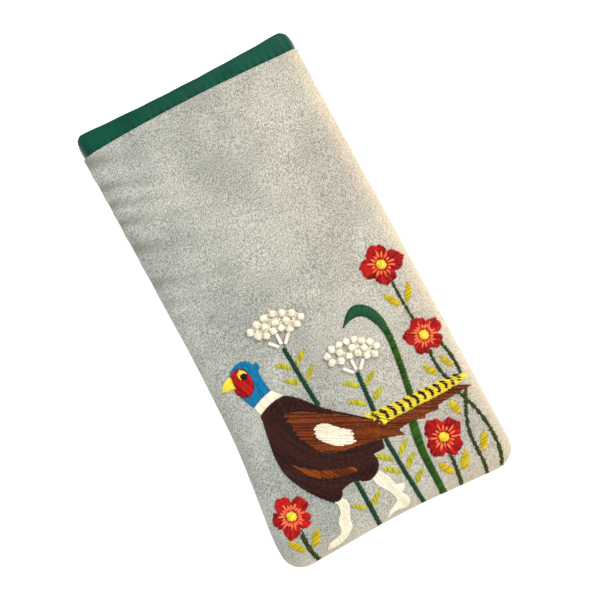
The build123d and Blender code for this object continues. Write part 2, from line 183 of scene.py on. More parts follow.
def edge_from(angle):
    """The outline's point in one direction from the middle."""
    way = Vector((math.cos(angle), math.sin(angle), 0))
    start = way * FAR + Vector((0, 0, front_low.z + JUST_ABOVE))
    hit = panel_tree.ray_cast(start, -way)[0]
    return hit.x, hit.y


def velvet_edge_y(x):
    """Where the velvet ends at the mouth."""
    x = min(max(x, front_low.x + LEFT_ROUND), front_high.x - RIGHT_ROUND)
    start = Vector((x, FAR, front_high.z - BELOW_CROWN))
    return panel_tree.ray_cast(start, Vector((0, -1, 0)))[0].y


def inward_normal(points):
    """Unit vectors to the inner side of an open outline that runs clockwise."""
    along = np.gradient(points, axis=0)
    along /= np.linalg.norm(along, axis=1)[:, None]
    return np.stack([along[:, 1], -along[:, 0]], axis=1)


def run_on(end, before):
    """A point past the end of a line, straight on from an earlier point."""
    return end + (end - before) / np.linalg.norm(end - before) * PAST


MOUTH_Y = velvet_edge_y(0)
first_angle = math.atan2(MOUTH_Y - 4 * MM, front_high.x)
last_angle = math.atan2(MOUTH_Y - 4 * MM, front_low.x + 4.6 * MM) - 2 * math.pi
outline = np.array([edge_from(a) for a in np.linspace(first_angle, last_angle, OUTLINE_POINTS)])
outline = np.vstack([run_on(outline[0], outline[8]), outline, run_on(outline[-1], outline[-9])])
outline = outline - GROW * inward_normal(outline)
print("outline runs", round(np.linalg.norm(np.diff(outline, axis=0), axis=1).sum() / MM), "mm")


# %% The grid that every layer uses
CORNER_RIGHT = math.radians(-63.5)   # the foot lies between these two directions
CORNER_LEFT = math.radians(-117.0)
CROWD_ACROSS = 0.6      # columns crowd towards both sides, where the cloth curves most
CROWD_ALONG = 0.45      # and rows towards the foot


def moved_in(points, inset):
    """An open outline moved inwards."""
    return points + inward_normal(points) * inset


def stretch(points, share):
    """Points at given shares of a polyline's length."""
    run = np.concatenate([[0], np.cumsum(np.linalg.norm(np.diff(points, axis=0), axis=1))])
    run /= run[-1]
    return np.stack([np.interp(share, run, points[:, i]) for i in (0, 1)], axis=1)


def edge_distance(points, line):
    """How far each point is from a polyline."""
    a = line[:-1]
    b = line[1:] - line[:-1]
    size = (b * b).sum(1)
    best = np.full(len(points), np.inf)
    for start, run, square in zip(a, b, size):
        if square > 0:
            t = np.clip(((points - start) @ run) / square, 0, 1)
            gap = points - start - t[:, None] * run
            best = np.minimum(best, (gap * gap).sum(1))
    return np.sqrt(best)


def crowd(count, both, amount):
    """Shares from 0 to 1 that crowd towards 0, or towards both ends."""
    t = np.linspace(0, 1, count + 1)
    bent = 0.5 - 0.5 * np.cos(np.pi * t) if both else 1 - np.cos(np.pi / 2 * t)
    return (1 - amount) * t + amount * bent


def layer_grid(inset, side, mouth, across, along):
    """A wall's grid.  Rows run from the bottom seam to the mouth; side is 1 in front and -1 behind."""
    line = moved_in(outline, inset)
    angle = np.unwrap(np.arctan2(line[:, 1], line[:, 0]))
    angle -= 2 * math.pi * round((angle[len(angle) // 2] + math.pi / 2) / (2 * math.pi))
    right = line[angle >= CORNER_RIGHT][::-1]
    bottom = line[(angle < CORNER_RIGHT) & (angle > CORNER_LEFT)][::-1]
    left = line[angle <= CORNER_LEFT]
    bottom = np.vstack([left[0], bottom, right[0]])
    right = right[right[:, 1] < mouth(right[-1][0])]
    left = left[left[:, 1] < mouth(left[-1][0])]
    right = np.vstack([right, [right[-1][0], mouth(right[-1][0])]])
    left = np.vstack([left, [left[-1][0], mouth(left[-1][0])]])
    u = crowd(across, True, CROWD_ACROSS)
    v = crowd(along, False, CROWD_ALONG)
    low = stretch(bottom, u)
    high_x = left[-1][0] + (right[-1][0] - left[-1][0]) * u
    high = np.stack([high_x, [mouth(x) for x in high_x]], axis=1)
    one = stretch(left, v)[:, None, :]
    two = stretch(right, v)[:, None, :]
    uu = u[None, :, None]
    vv = v[:, None, None]
    flat = (1 - uu) * one + uu * two + (1 - vv) * low[None] + vv * high[None]
    flat = flat - (1 - uu) * (1 - vv) * low[0] - uu * (1 - vv) * low[-1]
    flat = flat - (1 - uu) * vv * high[0] - uu * vv * high[-1]
    depth = edge_distance(flat.reshape(-1, 2), line).reshape(along + 1, across + 1)
    depth[0, :] = 0
    depth[:, 0] = 0
    depth[:, -1] = 0
    roll = ROLL - inset
    rise = np.sqrt(1 - (1 - np.clip(depth / roll, 0, 1)) ** 2) * (HALF - inset)
    grid = np.concatenate([flat, (SEAM_Z + side * rise)[..., None]], axis=2)
    return grid, depth


def grid_faces(rows, columns, flip=False):
    faces = []
    for j in range(rows - 1):
        for i in range(columns - 1):
            a = j * columns + i
            face = (a, a + 1, a + columns + 1, a + columns)
            faces.append(face[::-1] if flip else face)
    return faces


ACROSS = 44
ALONG = 84
front_grid = layer_grid(0, 1, velvet_edge_y, ACROSS, ALONG)[0]
back_grid = layer_grid(0, -1, velvet_edge_y, ACROSS, ALONG)[0]
print("wall grid", front_grid.shape)

# %% [markdown]
# The velvet is one closed sock while it is being shaped.  It could be
# sculpted by hand, but cloth that is blown up a little inside its seams finds
# its own crown and its own small puckers, so the sock is simulated for twenty
# frames with pressure.  Wadding can only swell so far, so the swelling is held
# to about a millimetre.  Soft folds that come from handling fan in from the
# left edge near the mouth, and are pressed in by rule after the simulation.

# %% Velvet sock
SWELL = 0.9 * MM        # the most that the wadding lifts the cloth
SPREAD = 0.35 * MM      # and the most that it moves sideways
CLOTH_FRAMES = 20
HELD_BAND = 3 * MM      # the band holds this much of the mouth
GATHERED = 2 * MM       # cloth this near the seams' height shrinks a little
FOLD_HEIGHT = 0.8       # millimetres, from the middle to a ridge or a valley
FOLD_WIDTH = 13.0       # millimetres, in which a fold fades away from the left edge
FOLDS_FROM = 22.0       # the folds start at this height, in millimetres, and run to the mouth
EDGE_ROUND = 5 * MM     # folds are full from here in
EDGE_BUMP = 0.22 * MM   # how far a fold pushes the left edge out
EDGE_REACH = 3 * MM     # and how fast that dies away from the edge


def sock_mesh():
    """Front and back walls that share their seam points.  The mouth is open."""
    rows, columns = front_grid.shape[:2]
    points = front_grid.reshape(-1, 3).tolist()
    faces = grid_faces(rows, columns)
    index = np.arange(rows * columns).reshape(rows, columns)
    for j in range(1, rows):
        for i in range(1, columns - 1):
            index[j, i] = len(points)
            points.append(back_grid[j, i].tolist())
    for j in range(rows - 1):
        for i in range(columns - 1):
            faces.append((index[j, i], index[j + 1, i], index[j + 1, i + 1], index[j, i + 1]))
    sock = mesh_object("velvet_sock", points, faces)
    sock.data.materials.append(None)
    sock.data.materials.append(None)
    for face in sock.data.polygons[len(sock.data.polygons) // 2:]:
        face.material_index = 1
    return sock


# %% Blow the sock up
def blow_up(sock):
    """Cloth with light pressure; the mouth is held by its band."""
    scene = bpy.context.scene
    held = sock.vertex_groups.new(name="held")
    gather = sock.vertex_groups.new(name="gather")
    for vertex in sock.data.vertices:
        if vertex.co.y > MOUTH_Y - HELD_BAND:
            held.add([vertex.index], 1.0, "REPLACE")
        if abs(vertex.co.z - SEAM_Z) < GATHERED:
            gather.add([vertex.index], 1.0, "REPLACE")
    cloth = sock.modifiers.new("cloth", "CLOTH")
    set_up = cloth.settings
    set_up.quality = 6
    set_up.mass = 0.15
    set_up.tension_stiffness = 30
    set_up.compression_stiffness = 30
    set_up.shear_stiffness = 8
    set_up.bending_stiffness = 0.6
    set_up.use_pressure = True
    set_up.uniform_pressure_force = 3.5
    set_up.effector_weights.gravity = 0
    set_up.vertex_group_mass = "held"
    set_up.vertex_group_shrink = "gather"
    set_up.shrink_min = 0.0
    set_up.shrink_max = 0.07
    cloth.collision_settings.use_collision = False
    for number in range(1, CLOTH_FRAMES + 1):
        scene.frame_set(number)
    graph = bpy.context.evaluated_depsgraph_get()
    shaped = sock.evaluated_get(graph).to_mesh()
    moved = np.array([v.co for v in shaped.vertices])
    sock.modifiers.clear()
    scene.frame_set(1)
    return moved


# %% Folds from handling
def pulls_of(points):
    """The folds, from -1 in a valley to 1 on a ridge.  They fade away from the left edge."""
    x = points[:, 0] / MM
    y = points[:, 1] / MM
    from_left = np.clip(x - (front_low.x + EDGE_ROUND) / MM, 0, None)
    near_mouth = 1 / (1 + np.exp(-(y - FOLDS_FROM) / 9))
    slant = y + 0.35 * x
    waves = np.sin(slant * 0.62 + 1.9 * np.sin(slant * 0.13))
    return waves * np.exp(-from_left / FOLD_WIDTH) * near_mouth


def soft_creases(points):
    """The folds, a slow roll all over, and small puckers along the bottom seam."""
    x = points[:, 0] / MM
    y = points[:, 1] / MM
    slow = 0.16 * np.sin(x * 0.085 + y * 0.031 + 1.0) + 0.12 * np.sin(y * 0.07 - x * 0.05)
    foot = 0.22 * np.sin(x * 0.42 + 0.6 * np.sin(x * 0.2)) * np.exp(-np.clip(y + 90, 0, None) / 5)
    return (FOLD_HEIGHT * pulls_of(points) + slow + foot) * MM


# %% Shape the sock
def shape_sock():
    sock = sock_mesh()
    rest = np.array([v.co for v in sock.data.vertices])
    moved = blow_up(sock)
    shift = moved - rest
    size = np.linalg.norm(shift, axis=1)
    print("cloth moved up to", round(size.max() / MM, 2), "mm before it was held")
    shift *= (SWELL * np.tanh(size / SWELL) / np.maximum(size, 1e-9))[:, None]
    flat_shift = np.linalg.norm(shift[:, :2], axis=1)
    shift[:, :2] *= (SPREAD * np.tanh(flat_shift / SPREAD) / np.maximum(flat_shift, 1e-9))[:, None]
    for vertex, point in zip(sock.data.vertices, rest + shift):
        vertex.co = point
    return sock


def crease(sock):
    """Presses the folds into the finer mesh, and keeps how deep each point lies in their valleys, for the
    painted shade that the velvet's finish lays there.
    """
    made = np.array([v.co for v in sock.data.vertices])
    pulls = pulls_of(made)
    height = np.clip((made[:, 2] - SEAM_Z) / HALF, 0, 1)
    made[:, 2] += height ** 2 * soft_creases(made)
    made[:, 2] = np.clip(made[:, 2], 0, None)
    from_left = np.clip(made[:, 0] - front_low.x - EDGE_ROUND, 0, None)
    made[:, 0] -= EDGE_BUMP * np.clip(pulls, 0, 1) * np.exp(-from_left / EDGE_REACH)
    sock.data.vertices.foreach_set("co", made.ravel())
    # Painted shade: how deep each point lies in a fold's valley, which the velvet finish darkens.
    fold_shade = np.clip(-pulls, 0, 1) * (made[:, 2] > SEAM_Z)
    sock.data.attributes.new("fold_shade", "FLOAT", "POINT").data.foreach_set("value", fold_shade)


sock = refined(shape_sock())
crease(sock)
print("sock points", len(sock.data.vertices))

# %% [markdown]
# The sock is then cut along its seams into the two panels that a maker would
# cut from the bolt.  A seam is a valley, because the thread pulls both edges
# in, so the points on it are drawn inwards.  Solidify gives each panel the
# thickness of velvet.

# %% Velvet panels
VELVET_T = 0.9 * MM
SEAM_PULL = 0.1 * MM    # the thread draws the edges in by this much
BOUND = 2.5 * MM        # but not where the band holds them
PULL_TO = Vector((1.5, -4.0, 0)) * MM
FOOT_Y = -80 * MM       # only the foot is drawn in lengthwise


def panel_from(sock, name, number):
    """One wall of the sock, as its own sheet of velvet."""
    shell = bmesh.new()
    shell.from_mesh(sock.data)
    bmesh.ops.delete(shell, geom=[f for f in shell.faces if f.material_index != number], context="FACES")
    for edge in shell.edges:
        if not edge.is_boundary:
            continue
        for vertex in edge.verts:
            if vertex.co.y < MOUTH_Y - BOUND:
                vertex.tag = True
    for vertex in shell.verts:
        if vertex.tag:
            way = PULL_TO - vertex.co
            way.y = way.y if vertex.co.y < FOOT_Y else 0
            way.z = 0
            vertex.co += way.normalized() * SEAM_PULL
    mesh = bpy.data.meshes.new(name)
    shell.to_mesh(mesh)
    shell.free()
    mesh.materials.clear()
    made = bpy.data.objects.new(name, mesh)
    bpy.context.scene.collection.objects.link(made)
    for face in mesh.polygons:
        face.material_index = 0
    return smooth(made)


front_panel = panel_from(sock, "front_velvet", 0)
back_panel = panel_from(sock, "back_velvet", 1)
bpy.data.objects.remove(sock)


def surface_tree(obj):
    mesh = obj.data
    return BVHTree.FromPolygons([v.co[:] for v in mesh.vertices], [f.vertices[:] for f in mesh.polygons])


front_surface = surface_tree(front_panel)


def on_front(x, y):
    """Height of the velvet front at a place."""
    hit = front_surface.ray_cast(Vector((x, y, FAR)), Vector((0, 0, -1)))[0]
    return hit.z if hit else SEAM_Z


def thicken(obj, thickness):
    wall = obj.modifiers.new("thickness", "SOLIDIFY")
    wall.thickness = thickness
    wall.offset = -1
    wall.use_even_offset = False
    return applied(obj)


for panel in (front_panel, back_panel):
    thicken(panel, VELVET_T)
print("velvet faces", len(front_panel.data.polygons), len(back_panel.data.polygons))

# %% [markdown]
# The mouth is bound with a strip of satin folded in half.  It comes up from
# under the velvet, turns over at the free edge and goes down inside.  The strip
# is drawn as its cross-section, carried along the mouth.  The topstitching
# pulls a shallow groove along it, and between two stitches the satin puffs up.

# %% Satin mouth band
BAND_COLUMNS = 186
STITCH_PITCH = 3.0 * MM
STITCH_UP = 1.0 * MM    # the topstitching runs this far past the velvet
BAND_T = 0.3 * MM
BAND_MIDDLE = 2.1 * MM  # the free edge is read at the middle of the fold
PUFF = 0.07 * MM
CORNER_DROP = 1.2 * MM  # the free edge is rounded off at both ends


def mouth_line(side):
    """The mouth row of a wall, evenly spaced, with the way out of the cloth."""
    grid = front_grid if side > 0 else back_grid
    row = grid[-1][:, [0, 2]]
    points = stretch(row, np.linspace(0, 1, BAND_COLUMNS + 1))
    along = np.gradient(points, axis=0)
    along /= np.linalg.norm(along, axis=1)[:, None]
    out = np.stack([-along[:, 1], along[:, 0]], axis=1) * side
    out[0] = (-1, 0)
    out[-1] = (1, 0)
    return points, out


def band_edge_y(x, z):
    """Free edge of the band, above a point of its wall."""
    hit = band_tree.ray_cast(Vector((x, FAR, SEAM_Z + abs(z - SEAM_Z))), Vector((0, -1, 0)))[0]
    return hit.y if hit and hit.y > MOUTH_Y else None


def band_section(velvet, free, ripple):
    """The strip's cross-section: place along the pouch, and depth below the velvet's outer face."""
    tall = free - velvet
    groove = 1.08 * MM + ripple * PUFF
    return [
        (velvet - 5.0 * MM, 1.3 * MM),
        (velvet - 2.0 * MM, 1.25 * MM),
        (velvet, 1.15 * MM),
        (velvet + 0.55 * STITCH_UP, groove - 0.05 * MM),
        (velvet + STITCH_UP, groove),
        (velvet + 1.5 * STITCH_UP, groove - 0.12 * MM),
        (velvet + 0.62 * tall, 0.8 * MM - ripple * 0.02 * MM),
        (free - 1.0 * MM, 0.85 * MM),
        (free - 0.25 * MM, 1.15 * MM),
        (free, 1.8 * MM),
        (free - 0.25 * MM, 2.4 * MM),
        (free - 1.0 * MM, 2.75 * MM),
        (velvet + 0.5 * tall, 2.85 * MM),
        (velvet - 1.0 * MM, 2.85 * MM),
        (velvet - 4.5 * MM, 2.85 * MM),
    ]


def mouth_band(name, side):
    points, out = mouth_line(side)
    frees = []
    for (x, z), (ox, oz) in zip(points, out):
        frees.append(band_edge_y(x - ox * BAND_MIDDLE, z - oz * BAND_MIDDLE))
    known = [i for i, y in enumerate(frees) if y is not None]
    frees = np.interp(np.arange(len(frees)), known, [frees[i] for i in known])
    verts = []
    for i, ((x, z), (ox, oz)) in enumerate(zip(points, out)):
        end = min(i, BAND_COLUMNS - i) / BAND_COLUMNS
        free = frees[i] + 0.05 * MM * math.sin(x / MM * 0.5) - CORNER_DROP * math.exp(-end * 60)
        ripple = math.cos(2 * math.pi * x / STITCH_PITCH)
        for y, depth in band_section(velvet_edge_y(x), free, ripple):
            swell = PUFF * math.sin(x / MM * 0.31 + y / MM * 0.4)
            verts.append((x - ox * (depth + swell), y, z - oz * (depth + swell)))
    faces = grid_faces(BAND_COLUMNS + 1, len(band_section(0, 1, 0)), side > 0)
    return smooth(refined(mesh_object(name, verts, faces)))


front_band = mouth_band("front_mouth_satin", 1)
back_band = mouth_band("back_mouth_satin", -1)
band_surfaces = {1: surface_tree(front_band), -1: surface_tree(back_band)}
for band in (front_band, back_band):
    thicken(band, BAND_T)
print("band faces", len(front_band.data.polygons))

# %% [markdown]
# Inside are the wadding and the lining.  They follow the same rule as the
# velvet, further in.  The wadding is a closed pad between two grids, and the
# lining is a thin sheet that runs up under the folded band.

# %% Wadding and lining
LINING_IN = 3.1 * MM    # how far inside the velvet's face each layer lies
WADDING_OUTER = 1.2 * MM
WADDING_INNER = 2.6 * MM
LINING_T = 0.25 * MM
LINING_ACROSS = 40
LINING_ALONG = 70


def lining(name, side):
    top = MOUTH_Y - 3.0 * MM
    grid, depth = layer_grid(LINING_IN, side, lambda x: top, LINING_ACROSS, LINING_ALONG)
    x = grid[..., 0] / MM
    y = grid[..., 1] / MM
    slack = 0.12 * np.sin(y * 0.5 + 2 * np.sin(x * 0.12)) + 0.1 * np.sin(x * 0.7 + 1.3 * np.sin(y * 0.09))
    inside = np.clip(depth / (6 * MM), 0, 1)
    grid[..., 2] += slack * inside * MM
    faces = grid_faces(LINING_ALONG + 1, LINING_ACROSS + 1, side < 0)
    made = mesh_object(name, grid.reshape(-1, 3), faces)
    return thicken(smooth(refined(made)), LINING_T)


def wadding(name, side):
    """A closed pad between the velvet and the lining."""
    outer = layer_grid(WADDING_OUTER, side, lambda x: MOUTH_Y - 5.5 * MM, 30, 50)[0]
    inner = layer_grid(WADDING_INNER, side, lambda x: MOUTH_Y - 6.0 * MM, 30, 50)[0]
    rows, columns = outer.shape[:2]
    count = rows * columns
    points = np.vstack([outer.reshape(-1, 3), inner.reshape(-1, 3)])
    faces = grid_faces(rows, columns, side < 0)
    faces += [tuple(count + i for i in face[::-1]) for face in faces]
    rim = list(range(columns))
    rim += [j * columns + columns - 1 for j in range(1, rows)]
    rim += [(rows - 1) * columns + i for i in range(columns - 2, -1, -1)]
    rim += [j * columns for j in range(rows - 2, 0, -1)]
    for a, b in zip(rim, rim[1:] + rim[:1]):
        face = (b, a, a + count, b + count)
        faces.append(face if side > 0 else face[::-1])
    return smooth(mesh_object(name, points, faces))


front_lining = lining("front_lining_satin", 1)
back_lining = lining("back_lining_satin", -1)
front_wadding = wadding("front_pad", 1)
back_wadding = wadding("back_pad", -1)
print("lining faces", len(front_lining.data.polygons))

# %% [markdown]
# Every stitch on the pouch is the same thing at another size: a short length
# of thread that dives into the cloth at both ends.  So one Geometry Nodes tree
# makes them all.  It takes bare polylines, thins them towards their ends and
# sweeps a round section along them.  It also keeps how far along and how far
# round the thread each point is, so that the finish can show the twist.

# %% The stitch tree
def stitch_tree():
    tree = bpy.data.node_groups.new("stitches", "GeometryNodeTree")
    face = tree.interface
    face.new_socket("Geometry", in_out="OUTPUT", socket_type="NodeSocketGeometry")
    face.new_socket("Lines", in_out="INPUT", socket_type="NodeSocketGeometry")
    face.new_socket("Thread width", in_out="INPUT", socket_type="NodeSocketFloat")
    face.new_socket("End taper", in_out="INPUT", socket_type="NodeSocketFloat")
    face.new_socket("Sides", in_out="INPUT", socket_type="NodeSocketInt")
    face.new_socket("Thread", in_out="INPUT", socket_type="NodeSocketMaterial")
    given = put(tree, "NodeGroupInput").outputs
    lines = put(tree, "GeometryNodeMeshToCurve", {"Mesh": given["Lines"]})
    place = put(tree, "GeometryNodeSplineParameter")
    centred = put(tree, "ShaderNodeMath", {0: place.outputs["Factor"], 1: 2.0, 2: -1.0},
                  operation="MULTIPLY_ADD")
    away = put(tree, "ShaderNodeMath", {0: centred.outputs[0]}, operation="ABSOLUTE")
    sharp = put(tree, "ShaderNodeMath", {0: away.outputs[0], 1: 4.0}, operation="POWER")
    thin = put(tree, "ShaderNodeMath", {0: sharp.outputs[0], 1: given["End taper"]}, operation="MULTIPLY")
    left = put(tree, "ShaderNodeMath", {0: 1.0, 1: thin.outputs[0]}, operation="SUBTRACT")
    half = put(tree, "ShaderNodeMath", {0: given["Thread width"], 1: 0.5}, operation="MULTIPLY")
    scale = put(tree, "ShaderNodeMath", {0: half.outputs[0], 1: left.outputs[0]}, operation="MULTIPLY")
    along = put(tree, "GeometryNodeStoreNamedAttribute", {
        "Geometry": lines.outputs["Curve"], "Name": "along", "Value": place.outputs["Length"]},
        domain="POINT")
    ring = put(tree, "GeometryNodeCurvePrimitiveCircle", {"Resolution": given["Sides"], "Radius": 1.0})
    around = put(tree, "GeometryNodeStoreNamedAttribute", {
        "Geometry": ring.outputs["Curve"], "Name": "around", "Value": place.outputs["Factor"]},
        domain="POINT")
    swept = put(tree, "GeometryNodeCurveToMesh", {
        "Curve": along.outputs["Geometry"], "Profile Curve": around.outputs["Geometry"],
        "Scale": scale.outputs[0], "Fill Caps": True})
    soft = put(tree, "GeometryNodeSetShadeSmooth", {"Geometry": swept.outputs["Mesh"]})
    real = put(tree, "GeometryNodeRealizeInstances", {"Geometry": soft.outputs["Geometry"]})
    coloured = put(tree, "GeometryNodeSetMaterial", {
        "Geometry": real.outputs["Geometry"], "Material": given["Thread"]})
    put(tree, "NodeGroupOutput", {"Geometry": coloured.outputs["Geometry"]})
    return tree


def grow(obj, tree, **inputs):
    """Runs a tree on an object and keeps the result as its mesh."""
    names = {i.name: i.identifier for i in tree.interface.items_tree if i.in_out == "INPUT"}
    maker = obj.modifiers.new("maker", "NODES")
    maker.node_group = tree
    for name, value in inputs.items():
        maker[names[name.replace("_", " ")]] = value
    return applied(obj)


STITCHES = stitch_tree()
print("stitch tree inputs", [i.name for i in STITCHES.interface.items_tree if i.in_out == "INPUT"])


def thread_object(name, stitches, width, thread, sides=5, taper=0.45):
    """All the stitches of one piece.  A stitch is its points and its shade, from 0 to 1."""
    points = []
    edges = []
    shades = []
    for line, shade in stitches:
        first = len(points)
        points.extend(line)
        shades.extend([shade] * len(line))
        edges.extend((i, i + 1) for i in range(first, len(points) - 1))
    made = mesh_object(name, points, edges=edges)
    made.data.attributes.new("shade", "FLOAT", "POINT").data.foreach_set("value", shades)
    return grow(made, STITCHES, Thread_width=width, End_taper=taper, Sides=sides, Thread=thread)


# %% [markdown]
# The finishes.  Colours are written the way a dyer would match them, as sRGB
# hex values, and one function turns them to the linear values that the shader
# wants.  Patterns are sized from real millimetres.

# %% Colour and pattern tools
def colour(text):
    """Linear colour from an sRGB hex value."""
    values = [int(text[i:i + 2], 16) / 255 for i in (0, 2, 4)]
    return [v / 12.92 if v <= 0.04045 else ((v + 0.055) / 1.055) ** 2.4 for v in values] + [1.0]


def per(size_mm):
    """Texture scale for a pattern whose features are about this many millimetres."""
    return 1 / (size_mm * MM)


def new_finish(name):
    """An empty material, its tree and its Principled shader."""
    made = bpy.data.materials.new(name)
    made.use_nodes = True
    tree = made.node_tree
    return made, tree, tree.nodes["Principled BSDF"]


def blend_colours(tree, share, one, two):
    """Mixes two colours, given as hex text or as sockets."""
    node = put(tree, "ShaderNodeMix", {0: share}, data_type="RGBA")
    for socket, value in ((node.inputs[6], one), (node.inputs[7], two)):
        if isinstance(value, str):
            socket.default_value = colour(value)
        else:
            tree.links.new(value, socket)
    return node.outputs[2]


def ramp(tree, value, low, high):
    """Stretches values between low and high to 0..1."""
    node = put(tree, "ShaderNodeMapRange", {0: value, 1: low, 2: high}, interpolation_type="SMOOTHSTEP")
    return node.outputs[0]


# %% [markdown]
# Cotton velvet has a short standing pile.  It is matt from above and lighter
# where it is seen along the pile, which is what sheen gives.  Brushing leaves
# slow patches of lighter and darker nap, and single tufts show as a fine
# slanting speckle about half a millimetre across, with dark dots of painted
# shade in the gaps between them.  The real pile is finer than a render can
# show, so the speckle is drawn a little coarse.  Light and shade are painted
# into the colour as well: a painted warm light that grows from the left side
# to the right, a painted warm light where the cloth rolls over the right edge
# and the foot, and a painted shade in the valleys of the folds.

# %% Velvet
def velvet(name):
    made, tree, shader = new_finish(name)
    where = put(tree, "ShaderNodeTexCoord").outputs["Object"]
    brushed = put(tree, "ShaderNodeMapping", {"Vector": where, "Rotation": (0, 0, math.radians(-32)),
                                              "Scale": (1.0, 0.62, 1.0)}).outputs[0]
    tufts = put(tree, "ShaderNodeTexNoise", {"Vector": brushed, "Scale": per(0.42), "Detail": 4.0,
                                             "Roughness": 0.75}).outputs[0]
    pits = put(tree, "ShaderNodeTexVoronoi", {"Vector": brushed, "Scale": per(0.62)}).outputs["Distance"]
    patches = put(tree, "ShaderNodeTexNoise", {"Vector": where, "Scale": per(21), "Detail": 2.0,
                                               "Roughness": 0.5}).outputs[0]
    place = put(tree, "ShaderNodeSeparateXYZ", {0: where})
    sides = place.outputs[0]
    fine = ramp(tree, tufts, 0.36, 0.62)
    slow = ramp(tree, patches, 0.3, 0.72)
    # Painted light: the velvet is painted cooler on the left and warmer towards the right, as a warm light
    # from the right would show it.
    painted_warm_light = ramp(tree, sides, -42 * MM, 46 * MM)
    base = blend_colours(tree, painted_warm_light, blend_colours(tree, slow, "686C69", "84867F"),
                         blend_colours(tree, slow, "777469", "8B877B"))
    lit = blend_colours(tree, painted_warm_light, blend_colours(tree, slow, "B2B5AC", "CACBC1"),
                        blend_colours(tree, slow, "C2BEB1", "D6D1C3"))
    down = put(tree, "ShaderNodeMath", {0: place.outputs[1], 1: -1.0}, operation="MULTIPLY").outputs[0]
    # Painted light: a warm cream strip where the cloth rolls over the right edge and the foot.
    right_edge_light = ramp(tree, sides, 37 * MM, 48 * MM)
    foot_edge_light = ramp(tree, down, 80 * MM, 92 * MM)
    edge = put(tree, "ShaderNodeMath", {0: right_edge_light, 1: foot_edge_light}, operation="MAXIMUM").outputs[0]
    painted_edge_light = put(tree, "ShaderNodeMath", {0: edge, 1: 0.4}, operation="MULTIPLY").outputs[0]
    speckled = blend_colours(tree, painted_edge_light, blend_colours(tree, fine, base, lit), "D6C3A2")
    # Painted shade: dark dots in the gaps between the tufts.
    pit_shade_mask = ramp(tree, pits, 0.0, 0.3)
    dotted = blend_colours(tree, pit_shade_mask, "57554D", speckled)
    # Painted shade: the velvet is darker in the valleys of the folds.
    fold_shade = put(tree, "ShaderNodeAttribute", attribute_name="fold_shade").outputs["Fac"]
    fold_shade_amount = put(tree, "ShaderNodeMath", {0: fold_shade, 1: 0.75}, operation="MULTIPLY").outputs[0]
    shaded = blend_colours(tree, fold_shade_amount, dotted, "6F685E")
    tree.links.new(shaded, shader.inputs["Base Color"])
    bump = put(tree, "ShaderNodeBump", {"Height": tufts, "Strength": 0.8, "Distance": 0.4 * MM})
    tree.links.new(bump.outputs[0], shader.inputs["Normal"])
    shader.inputs["Roughness"].default_value = 0.95
    shader.inputs["Specular IOR Level"].default_value = 0.15
    shader.inputs["Sheen Weight"].default_value = 0.35
    shader.inputs["Sheen Roughness"].default_value = 0.4
    shader.inputs["Sheen Tint"].default_value = colour("F6EEDF")
    return made


# %% [markdown]
# Satin is woven so that long threads lie side by side on its face.  They give
# a soft stretched highlight across the cloth, a shade that drifts slightly
# from thread to thread, and hardly any texture.

# %% Satin
def satin(name, deep, bright):
    made, tree, shader = new_finish(name)
    where = put(tree, "ShaderNodeTexCoord").outputs["Object"]
    lines = put(tree, "ShaderNodeMapping", {"Vector": where, "Scale": (0.06, 1.0, 1.0)}).outputs[0]
    threads = put(tree, "ShaderNodeTexNoise", {"Vector": lines, "Scale": per(0.3), "Detail": 2.0}).outputs[0]
    drift = put(tree, "ShaderNodeTexNoise", {"Vector": where, "Scale": per(9), "Detail": 2.0}).outputs[0]
    mixed = put(tree, "ShaderNodeMath", {0: threads, 1: 0.35, 2: drift}, operation="MULTIPLY_ADD").outputs[0]
    tone = blend_colours(tree, ramp(tree, mixed, 0.3, 1.1), deep, bright)
    tree.links.new(tone, shader.inputs["Base Color"])
    bump = put(tree, "ShaderNodeBump", {"Height": threads, "Strength": 0.25, "Distance": 0.08 * MM})
    tree.links.new(bump.outputs[0], shader.inputs["Normal"])
    shader.inputs["Roughness"].default_value = 0.45
    shader.inputs["Anisotropic"].default_value = 0.5
    shader.inputs["Sheen Weight"].default_value = 0.02
    shader.inputs["Specular IOR Level"].default_value = 0.12
    return made


# %% [markdown]
# Stranded embroidery thread is mercerised cotton: two or more fine strands
# laid together with a slow twist, with a silky shine along it.  Each stitch
# has its own shade, because it catches the light at its own angle, and the
# strands show as slanting ridges round the thread, with a painted shade in
# the grooves between them.

# %% Stranded thread
TWIST = 1.3 * MM        # one turn of the twist
FADE_LOW = -34 * MM     # a thread that is dyed to fade changes between these places
FADE_HIGH = -16 * MM


